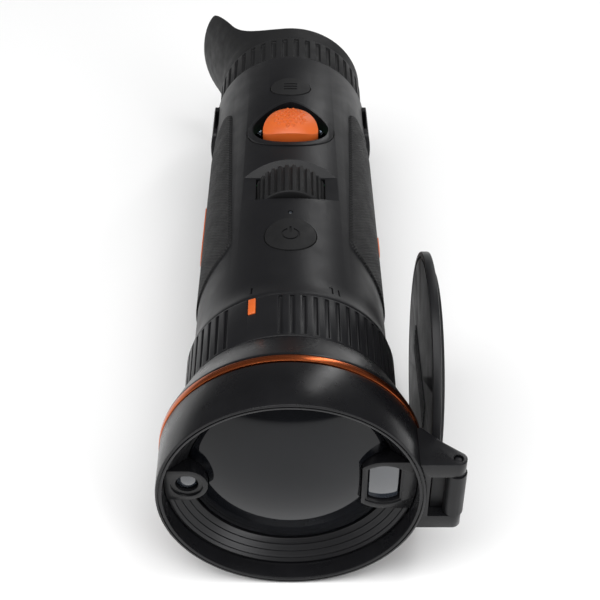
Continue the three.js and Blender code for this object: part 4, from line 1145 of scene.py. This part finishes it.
def power_key():
    """The key carries the usual ring and stroke, cut into its top."""
    piece = key_blank("power_key", power_outline(0), power_outline(KEY_SKIRT), POWER_Y, POWER_RADIUS)
    top = body_radius(POWER_Y) + 0.3
    ring = turned("ring", [(2.3, top - 0.45), (2.95, top - 0.45), (2.95, top + 2), (2.3, top + 2)],
                  (0, POWER_Y, 0), "z", 64)
    cut(ring, box("gap", (-1.0, 1.0), (POWER_Y, POWER_Y + 6), (top - 2, top + 4)))
    cut(piece, ring,
        box("stroke", (-0.33, 0.33), (POWER_Y + 0.9, POWER_Y + 3.7), (top - 0.45, top + 2)))
    smooth(piece, 30)
    return finish(piece, RUBBER, "power_button", "rubber", "power_button")


def menu_key():
    """Three short strokes are cut into the key's top."""
    piece = key_blank("menu_key", menu_outline(0), menu_outline(KEY_SKIRT), MENU_Y, MENU_HALF_LENGTH)
    top = body_radius(MENU_Y) + 0.3
    for offset in (-1.7, 0, 1.7):
        y = MENU_Y + offset
        stroke = box("stroke", (-2.4, 2.4), (y - 0.33, y + 0.33), (top - 0.4, top + 2))
        cut(piece, stroke)
    smooth(piece, 30)
    return finish(piece, RUBBER, "menu_button", "rubber", "menu_button")


def status_light():
    low, high = reach("status_light")
    piece = turned("status_light", [
        (0.05, low.z), (0.6, low.z), (0.6, high.z - 0.2),
        (0.45, high.z - 0.05), (0.2, high.z), (0.05, high.z),
    ], (0, LIGHT_Y, 0), "z", 24, solid=True)
    smooth(piece)
    return finish(piece, WINDOW, "camera_body", "glass", "status_light")


# ---------------------------------------------------------------- joystick

STICK_TOP = reach("joystick_cap")[1].z
STICK_HEIGHT = 7.6


def joystick_bezel():
    """A ring flush with the housing, with a short well under its mouth."""
    piece = slab("joystick_bezel", bezel_outline(0), "z", 15, 60)
    cut(piece, slab("mouth", bezel_outline(-BEZEL_WALL), "z", 0, 70))
    combine(piece, body_skin("skin", BODY_WALL, 0.4, POWER_Y, BODY_END), "INTERSECT")
    soften(piece, 0.4, 3, 30)
    low = reach("joystick_bezel")[0].z
    well = slab("well", bezel_outline(0.8 - BEZEL_WALL), "z", low + 0.1, low + 5)
    cut(well, slab("mouth", bezel_outline(-BEZEL_WALL), "z", 0, 70))
    combine(well, body_core("core", -BODY_WALL + 0.3), "INTERSECT")
    combine(piece, well, "UNION")
    return finish(piece, SHELL, "camera_body", "shell", "joystick_bezel")


CROWN_TOP = STICK_TOP - 0.5
CROWN_CURVE = 15
CROWN_MIDDLE = STICK_Y + 0.6


def crown_height(x, y):
    """Height of the domed crown at a place measured from its middle."""
    return CROWN_TOP - CROWN_CURVE + math.sqrt(CROWN_CURVE ** 2 - x ** 2 - y ** 2)


def thumb_pad():
    """Small raised six-sided studs over the middle of the crown."""
    studs = []
    pitch = 1.9
    for row in range(-3, 4):
        for column in range(-4, 5):
            x = (column + (row % 2) / 2) * pitch
            y = row * pitch * math.sqrt(3) / 2
            if (x / 5.6) ** 2 + (y / 5.2) ** 2 > 1:
                continue
            clear_selection()
            bpy.ops.mesh.primitive_cone_add(
                vertices=6, radius1=0.93 * MM, radius2=0.45 * MM, depth=1.0 * MM,
                location=at(x, CROWN_MIDDLE + y, crown_height(x, y) - 0.05))
            studs.append(keep("stud"))
    return join("studs", studs)


def joystick_cap():
    """An orange crown with a domed top, whose middle carries a studded pad."""
    bottom = STICK_TOP - STICK_HEIGHT
    piece = slab("joystick_cap", stick_outline(), "z", bottom, STICK_TOP)
    crown = ball("crown", CROWN_CURVE, (0, CROWN_MIDDLE, CROWN_TOP - CROWN_CURVE))
    combine(piece, crown, "INTERSECT")
    soften(piece, 1.2, 5, 25)
    combine(piece, thumb_pad(), "UNION")
    combine(piece, bar("boss", 4, (0, STICK_Y, bottom - 3), (0, STICK_Y, bottom + 2), 48), "UNION")
    cut(piece, bar("bore", 2.5, (0, STICK_Y, bottom - 4), (0, STICK_Y, bottom + 2), 48))
    smooth(piece, 35)
    return finish(piece, ORANGE, "joystick_cap", "orange", "joystick_cap")


# ---------------------------------------------------------------- focus wheel

WHEEL_RIBS = 30


def focus_wheel():
    r = WHEEL_RADIUS
    hub = (0, 0, WHEEL_Z)
    low, high = WHEEL_LOW.y, WHEEL_HIGH.y
    piece = turned("focus_wheel", [
        (2.2, low + 0.3), (r - 1.6, low + 0.1), (r - 0.5, low), (r - 0.15, low + 0.15), (r, low + 0.5),
        (r, high - 0.5), (r - 0.15, high - 0.15), (r - 0.5, high),
        (r - 1.6, high - 0.1), (2.2, high - 0.3),
    ], hub, sides=WHEEL_RIBS * 6)
    groove = box("groove", (-0.62, 0.62), (low + 0.7, high + 1), (WHEEL_Z + r - 1.0, WHEEL_Z + r + 2))
    soften(groove, 0.35, 2)
    angles = [360 / WHEEL_RIBS * i for i in range(WHEEL_RIBS)]
    cut(piece, repeat_about("grooves", groove, angles, hub))
    soften(piece, 0.14, 2, 35)
    return finish(piece, RUBBER, "focus_wheel", "rubber", "focus_wheel")


# ---------------------------------------------------------------- eyepiece

DIOPTRE_RADIUS = BODY_REAR_RADIUS - 0.7
EYE_BARREL = 23.9
DIOPTRE_START = reach("dioptre_ring")[0].y


def eyepiece_barrel():
    low, high = reach("eyepiece_barrel")
    piece = turned("eyepiece_barrel", [
        (21.9, low.y), (25.9, low.y), (25.9, low.y + 3),
        (EYE_BARREL, low.y + 3), (EYE_BARREL, high.y - 0.5),
        (EYE_BARREL - 0.5, high.y), (22.3, high.y), (21.9, high.y - 0.4),
    ])
    smooth(piece)
    return finish(piece, ANODISED, "camera_body", "aluminium", "eyepiece_barrel")


def eyepiece_cell():
    low, high = reach("eyepiece_cell")
    section = [(15.7, low.y), (21.6, low.y), (21.6, high.y - 0.3), (21.3, high.y)]
    for ring in range(3):
        radius = 20.4 - 1.1 * ring
        section += [(radius, high.y), (radius - 0.15, high.y - 0.5)]
        section += [(radius - 0.5, high.y - 0.5), (radius - 0.6, high.y)]
    section += [(16.9, high.y - 0.1), (16.8, high.y - 0.4), (16.8, low.y + 1.5), (15.7, low.y + 1.5)]
    piece = turned("eyepiece_cell", section)
    smooth(piece)
    return finish(piece, ANODISED, "eyepiece_cell", "aluminium", "eyepiece_cell")


def eyepiece_lens():
    low, high = reach("eyepiece_lens")
    front = dome(16.5, low.y + 2.4, 2.4, 14)
    back = [(r, low.y + high.y - y) for r, y in reversed(front)]
    piece = turned("eyepiece_lens", front + back, sides=120, solid=True)
    smooth(piece)
    return finish(piece, CLEAR, "eyepiece_cell", "glass", "eyepiece_lens")


def dioptre_ring():
    r = DIOPTRE_RADIUS
    start, end = DIOPTRE_START, DIOPTRE_END - 0.3
    bars = 40
    piece = turned("dioptre_ring", [
        (EYE_BARREL + 0.3, start), (r - 0.5, start), (r - 0.14, start + 0.14), (r, start + 0.5),
        (r, end - 0.3), (r - 0.3, end), (EYE_BARREL + 0.3, end),
    ], sides=bars * 5)
    groove = box("groove", (-0.95, 0.95), (start + 1.4, end - 1.3), (r - 0.9, r + 2))
    soften(groove, 0.45, 3)
    cut(piece, repeat_about("grooves", groove, [(i + 0.5) * 360 / bars for i in range(bars)]))
    soften(piece, 0.18, 2, 32)
    return finish(piece, RUBBER, "dioptre_ring", "rubber", "dioptre_ring")


CUP_BAND = 6.2
CUP_BAND_END = DIOPTRE_END + CUP_BAND


def cup_radius(share):
    return DIOPTRE_RADIUS - 0.3 + (36.5 - DIOPTRE_RADIUS + 0.3) * share ** 1.25


def cup_edge():
    """The wing's edge in plan, from the band to its rounded tip on the -X side."""
    bend = (-24.1, CUP_BAND_END + 16.6)
    edge = curve_between((-4, CUP_BAND_END + 0.8), (-17.5, CUP_BAND_END + 2.2), bend, 14)
    edge += curve_between(bend, (-28.6, CUP_BAND_END + 25.5), (-31.2, CUP_END - 1.9), 10)
    edge += curve_between((-31.2, CUP_END - 1.9), (-32.6, CUP_END - 0.4), (-36, CUP_END - 0.1), 6)
    edge += [(-44, CUP_END + 0.3), (-44, CUP_END + 6), (80, CUP_END + 6), (80, CUP_BAND_END + 0.8)]
    return edge


def eyecup():
    inner = EYE_BARREL + 0.3
    length = CUP_END - CUP_BAND_END
    shares = [i / 16 for i in range(17)]
    outside = [(cup_radius(s), CUP_BAND_END + length * s) for s in shares]
    inside = [(cup_radius(s) - 2 * (1 - 0.3 * s), CUP_BAND_END + length * s) for s in reversed(shares)]
    band = DIOPTRE_RADIUS - 0.3
    piece = turned("eyecup", [
        (inner, DIOPTRE_END), (band - 0.4, DIOPTRE_END), (band - 0.1, DIOPTRE_END + 0.1),
        (band, DIOPTRE_END + 0.4), *outside, *inside, (inner, CUP_BAND_END - 1),
    ])
    cut(piece, slab("edge", cup_edge(), "z", -60, 60))
    soften(piece, 0.55, 4, 40)
    return finish(piece, RUBBER, "eyecup", "rubber", "eyecup")


# ---------------------------------------------------------------- underside

BUSH_LOW, BUSH_HIGH = reach("tripod_bush")
BUSH_Y = middle_of("tripod_bush").y
BASE = FOOT_LOW.z


def tripod_foot():
    piece = box("tripod_foot", (FOOT_LOW.x, FOOT_HIGH.x),
                (FOOT_LOW.y, FOOT_HIGH.y), (BASE, -BODY_RADIUS / 2))
    choose(piece)
    bpy.ops.object.mode_set(mode="EDIT")
    bpy.ops.mesh.select_mode(type="EDGE")
    bpy.ops.mesh.select_all(action="DESELECT")
    bpy.ops.object.mode_set(mode="OBJECT")
    for edge in piece.data.edges:
        first, last = (piece.data.vertices[i].co for i in edge.vertices)
        edge.select = abs(first.z - last.z) > MM
    bpy.ops.object.mode_set(mode="EDIT")
    bpy.ops.mesh.bevel(offset=6 * MM, segments=10)
    bpy.ops.object.mode_set(mode="OBJECT")
    cut(piece, body_core("core", 0.3, 20, 200),
        bar("bush_pocket", 5.5, (0, BUSH_Y, BASE - 1), (0, BUSH_Y, BASE + 8.3)))
    for node_name in CASE_SCREWS:
        y = middle_of(node_name).y
        cut(piece, bar("screw_hole", 1.7, (0, y, BASE - 1), (0, y, 0), 32),
            bar("screw_seat", 3.1, (0, y, BASE - 1), (0, y, BASE + 4), 48))
    middle = (FOOT_LOW.y + FOOT_HIGH.y) / 2
    for offset in (-13.5, 0, 4, 8, 12.5):
        y = middle + offset
        groove = box("groove", (-8.5, 8.5), (y - 0.5, y + 0.5), (BASE - 1, BASE + 0.5))
        cut(piece, groove)
    soften(piece, 0.5, 3, 35)
    return finish(piece, SHELL, "camera_body", "shell", "tripod_foot")


def tripod_bush():
    """A brass bush with thread turns inside."""
    low, high = BUSH_LOW.z, BUSH_HIGH.z
    section = [(4.9, low), (5.2, low + 0.3), (5.2, high), (3.4, high)]
    turns = 6
    pitch = (high - low - 1) / turns
    for turn in range(turns):
        z = high - 0.3 - pitch * turn
        section += [(3.2, z), (3.42, z - pitch / 2)]
    section += [(3.2, low + 0.5), (3.6, low)]
    piece = turned("tripod_bush", section, (0, BUSH_Y, 0), "z", 64)
    smooth(piece, 20)
    return finish(piece, BRASS, "camera_body", "brass", "tripod_bush")


def case_screw(node_name):
    low, high = reach(node_name)
    y = middle_of(node_name).y
    piece = bar(node_name, 2.8, (0, y, low.z), (0, y, BASE + 3.7), 48)
    soften(piece, 0.4, 3)
    cut(piece, bar("socket", 1.3, (0, y, low.z - 1), (0, y, low.z + 1.3), 6))
    combine(piece, bar("shank", 1.4, (0, y, BASE + 3.2), (0, y, high.z), 32), "UNION")
    smooth(piece)
    return finish(piece, STEEL, "camera_body", "steel", node_name)


def usb_cover():
    low, high = PORT_LOW, PORT_HIGH
    flap_top = COVER_FLOOR - 0.3
    piece = box("port_cover", (low.x, high.x), (low.y, high.y), (low.z, flap_top))
    soften(piece, 0.35, 3)
    middle = (low.y + high.y) / 2
    for offset in (-1.2, 0, 1.2):
        ridge = box("ridge", (-3, 3), (high.y - 2.6 + offset - 0.25, high.y - 2.6 + offset + 0.25),
                    (low.z - 0.3, low.z + 0.3))
        combine(piece, ridge, "UNION")
    tongue = box("tongue", (-3.4, 3.4), (middle - 0.8, middle + 0.8), (flap_top - 0.5, high.z))
    soften(tongue, 0.3, 2)
    combine(piece, tongue, "UNION")
    smooth(piece)
    return finish(piece, RUBBER, "usb_cover", "rubber", "usb_cover")


# ---------------------------------------------------------------- pieces kept from the CAD

INNER_FINISHES = {
    "objective_barrel": ANODISED, "fov_lens_cell": ANODISED, "fov_lens": GERMANIUM,
    "key_board": BOARD, "joystick_stem": ANODISED, "joystick_gimbal": ANODISED,
    "control_board": BOARD, "focus_screw": STEEL, "wheel_yoke": ANODISED,
    "focus_lens_cell": ANODISED, "focus_lens": GERMANIUM, "guide_rod": STEEL,
    "lens_bulkhead": ANODISED, "shutter_flag": STEEL, "detector_module": ANODISED,
    "main_board": BOARD, "battery": SLEEVE, "display_module": SCREEN, "usb_socket": STEEL,
}


def finish_inner_pieces():
    for name, look in INNER_FINISHES.items():
        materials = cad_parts[name].data.materials
        materials.clear()
        materials.append(look)


# ---------------------------------------------------------------- camera, floor and light


def camera():
    bpy.ops.object.camera_add(location=at(0, -237.255, 281.76), rotation=(math.radians(48.842), 0, 0))
    viewer = bpy.context.object
    viewer.name = "viewer"
    viewer.data.lens = 78
    viewer.data.sensor_width = 36
    viewer.data.shift_x = 0.0158
    bpy.context.scene.camera = viewer


def floor():
    bpy.ops.mesh.primitive_plane_add(size=12, location=(0, 0, cad_low.z - 0.0001))
    ground = bpy.context.object
    ground.name = "floor"
    ground.data.materials.append(pale_floor())


def soft_light(name, place, size, power, aim=(0, 0, 0)):
    bpy.ops.object.light_add(type="AREA", location=place)
    lamp = bpy.context.object
    lamp.name = name
    lamp.data.shape = "RECTANGLE"
    lamp.data.size, lamp.data.size_y = size
    lamp.data.energy = power
    lamp.rotation_euler = (Vector(aim) - Vector(place)).to_track_quat("-Z", "Y").to_euler()


def lights():
    soft_light("overhead", (0, -0.5, 1.5), (2.0, 1.0), 29)
    soft_light("rear_strip", (0.42, 0.95, 0.72), (0.14, 0.9), 2.6)
    soft_light("front_right", (0.9, -1.1, 0.7), (0.5, 1.0), 9)
    soft_light("left_fill", (-1.1, -0.5, 0.7), (0.7, 1.2), 6)
    world = bpy.data.worlds.new("studio")
    world.use_nodes = True
    world.node_tree.nodes["Background"].inputs["Color"].default_value = (1, 1, 1, 1)
    world.node_tree.nodes["Background"].inputs["Strength"].default_value = 0.14
    bpy.context.scene.world = world
    bpy.context.scene.view_settings.view_transform = "Standard"


camera()
floor()
lights()

front_hood()
trim_ring()
baffle_ring()
emitter_tube()
receiver_tube()
emitter_lens()
receiver_lens()
objective_lens()
hinge_bracket()
hinge_pin()
lens_cap()
cap_seal()
zoom_ring()
zoom_index()
blank = housing_blank()
upper_housing(blank)
lower_housing(blank)
for side, label in ((-1, "left"), (1, "right")):
    grip_panel(side, label)
    side_accent(side, label)
    strap_lug(side, label)
power_key()
menu_key()
status_light()
joystick_bezel()
joystick_cap()
focus_wheel()
eyepiece_barrel()
eyepiece_cell()
eyepiece_lens()
dioptre_ring()
eyecup()
tripod_foot()
tripod_bush()
for screw_name in CASE_SCREWS:
    case_screw(screw_name)
usb_cover()
finish_inner_pieces()
